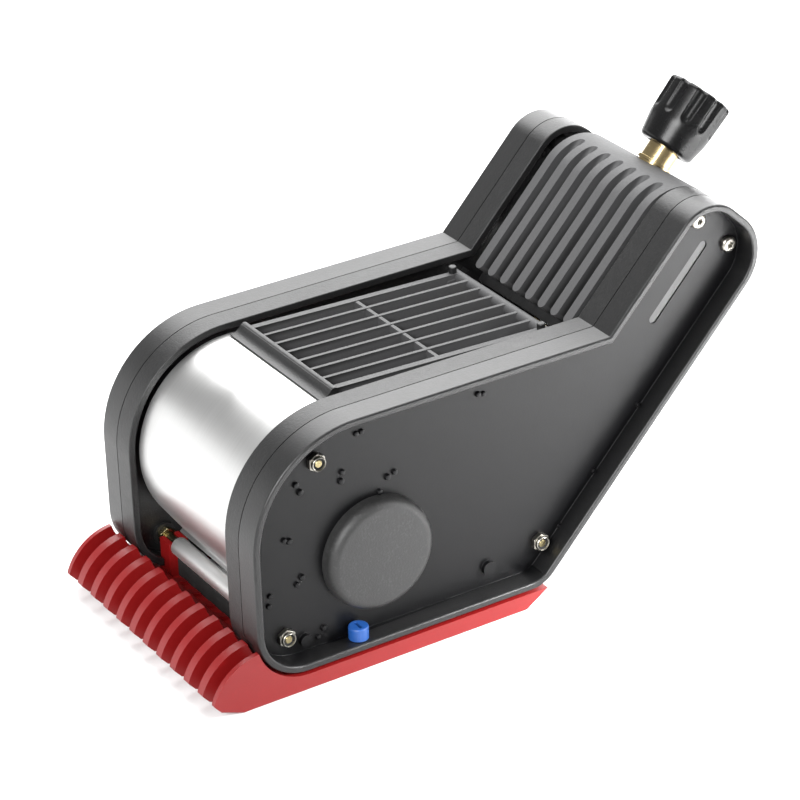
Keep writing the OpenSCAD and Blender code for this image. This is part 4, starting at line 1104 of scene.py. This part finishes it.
class HEAD_OT_shoe(bpy.types.Operator):
    """Build the finned shoe, its studs and the seal."""

    bl_idname = "head.shoe"
    bl_label = "Skid Shoe"
    bl_options = {"REGISTER", "UNDO"}

    def execute(self, context):
        make_shoe(context.scene.head_sizes)
        return {"FINISHED"}


class HEAD_OT_roller(bpy.types.Operator):
    """Build the front roller and its end nuts."""

    bl_idname = "head.roller"
    bl_label = "Front Roller"
    bl_options = {"REGISTER", "UNDO"}

    def execute(self, context):
        make_roller()
        return {"FINISHED"}


class HEAD_OT_fasteners(bpy.types.Operator):
    """Build the bolts, nuts, spacers and screws."""

    bl_idname = "head.fasteners"
    bl_label = "Fasteners"
    bl_options = {"REGISTER", "UNDO"}

    def execute(self, context):
        make_fasteners(context.scene.head_sizes)
        return {"FINISHED"}


class HEAD_OT_inlet(bpy.types.Operator):
    """Build the inlet nipple and the union nut."""

    bl_idname = "head.inlet"
    bl_label = "Inlet and Union Nut"
    bl_options = {"REGISTER", "UNDO"}

    def execute(self, context):
        make_inlet(context.scene.head_sizes)
        return {"FINISHED"}


class HEAD_OT_water_path(bpy.types.Operator):
    """Build the pipe, block and nozzle inside the head."""

    bl_idname = "head.water_path"
    bl_label = "Water Path"
    bl_options = {"REGISTER", "UNDO"}

    def execute(self, context):
        make_water_path()
        return {"FINISHED"}


class HEAD_OT_stage(bpy.types.Operator):
    """Build the floor, the lights and the camera."""

    bl_idname = "head.stage"
    bl_label = "Stage"
    bl_options = {"REGISTER", "UNDO"}

    def execute(self, context):
        make_stage(context.scene.head_stage)
        return {"FINISHED"}


BUILDERS = (HEAD_OT_side_walls, HEAD_OT_caps, HEAD_OT_hood, HEAD_OT_grate, HEAD_OT_ribbed_cover, HEAD_OT_shoe,
            HEAD_OT_roller, HEAD_OT_fasteners, HEAD_OT_inlet, HEAD_OT_water_path, HEAD_OT_stage)


class HEAD_PT_builders(bpy.types.Panel):
    """Lists the builders and the settings that they read."""

    bl_idname = "HEAD_PT_builders"
    bl_label = "Gum Removal Head"
    bl_space_type = "VIEW_3D"
    bl_region_type = "UI"
    bl_category = "Gum Head"

    def draw(self, context):
        for builder in BUILDERS:
            self.layout.operator(builder.bl_idname)
        for group in (context.scene.head_sizes, context.scene.head_colours, context.scene.head_stage):
            box = self.layout.box()
            for key in group.__annotations__:
                box.prop(group, key)


CLASSES = (HeadSizes, HeadColours, StageSettings, *BUILDERS, HEAD_PT_builders)


def register():
    """Registers the classes and their settings."""
    for item in CLASSES:
        bpy.utils.register_class(item)
    bpy.types.Scene.head_sizes = PointerProperty(type=HeadSizes)
    bpy.types.Scene.head_colours = PointerProperty(type=HeadColours)
    bpy.types.Scene.head_stage = PointerProperty(type=StageSettings)


def unregister():
    """Removes the settings and the classes."""
    for key in ("head_sizes", "head_colours", "head_stage"):
        delattr(bpy.types.Scene, key)
    for item in reversed(CLASSES):
        bpy.utils.unregister_class(item)


def main():
    """Builds every piece and the stage."""
    register()
    for builder in BUILDERS:
        group, name = builder.bl_idname.split(".")
        getattr(getattr(bpy.ops, group), name)()


if __name__ == "__main__":
    main()
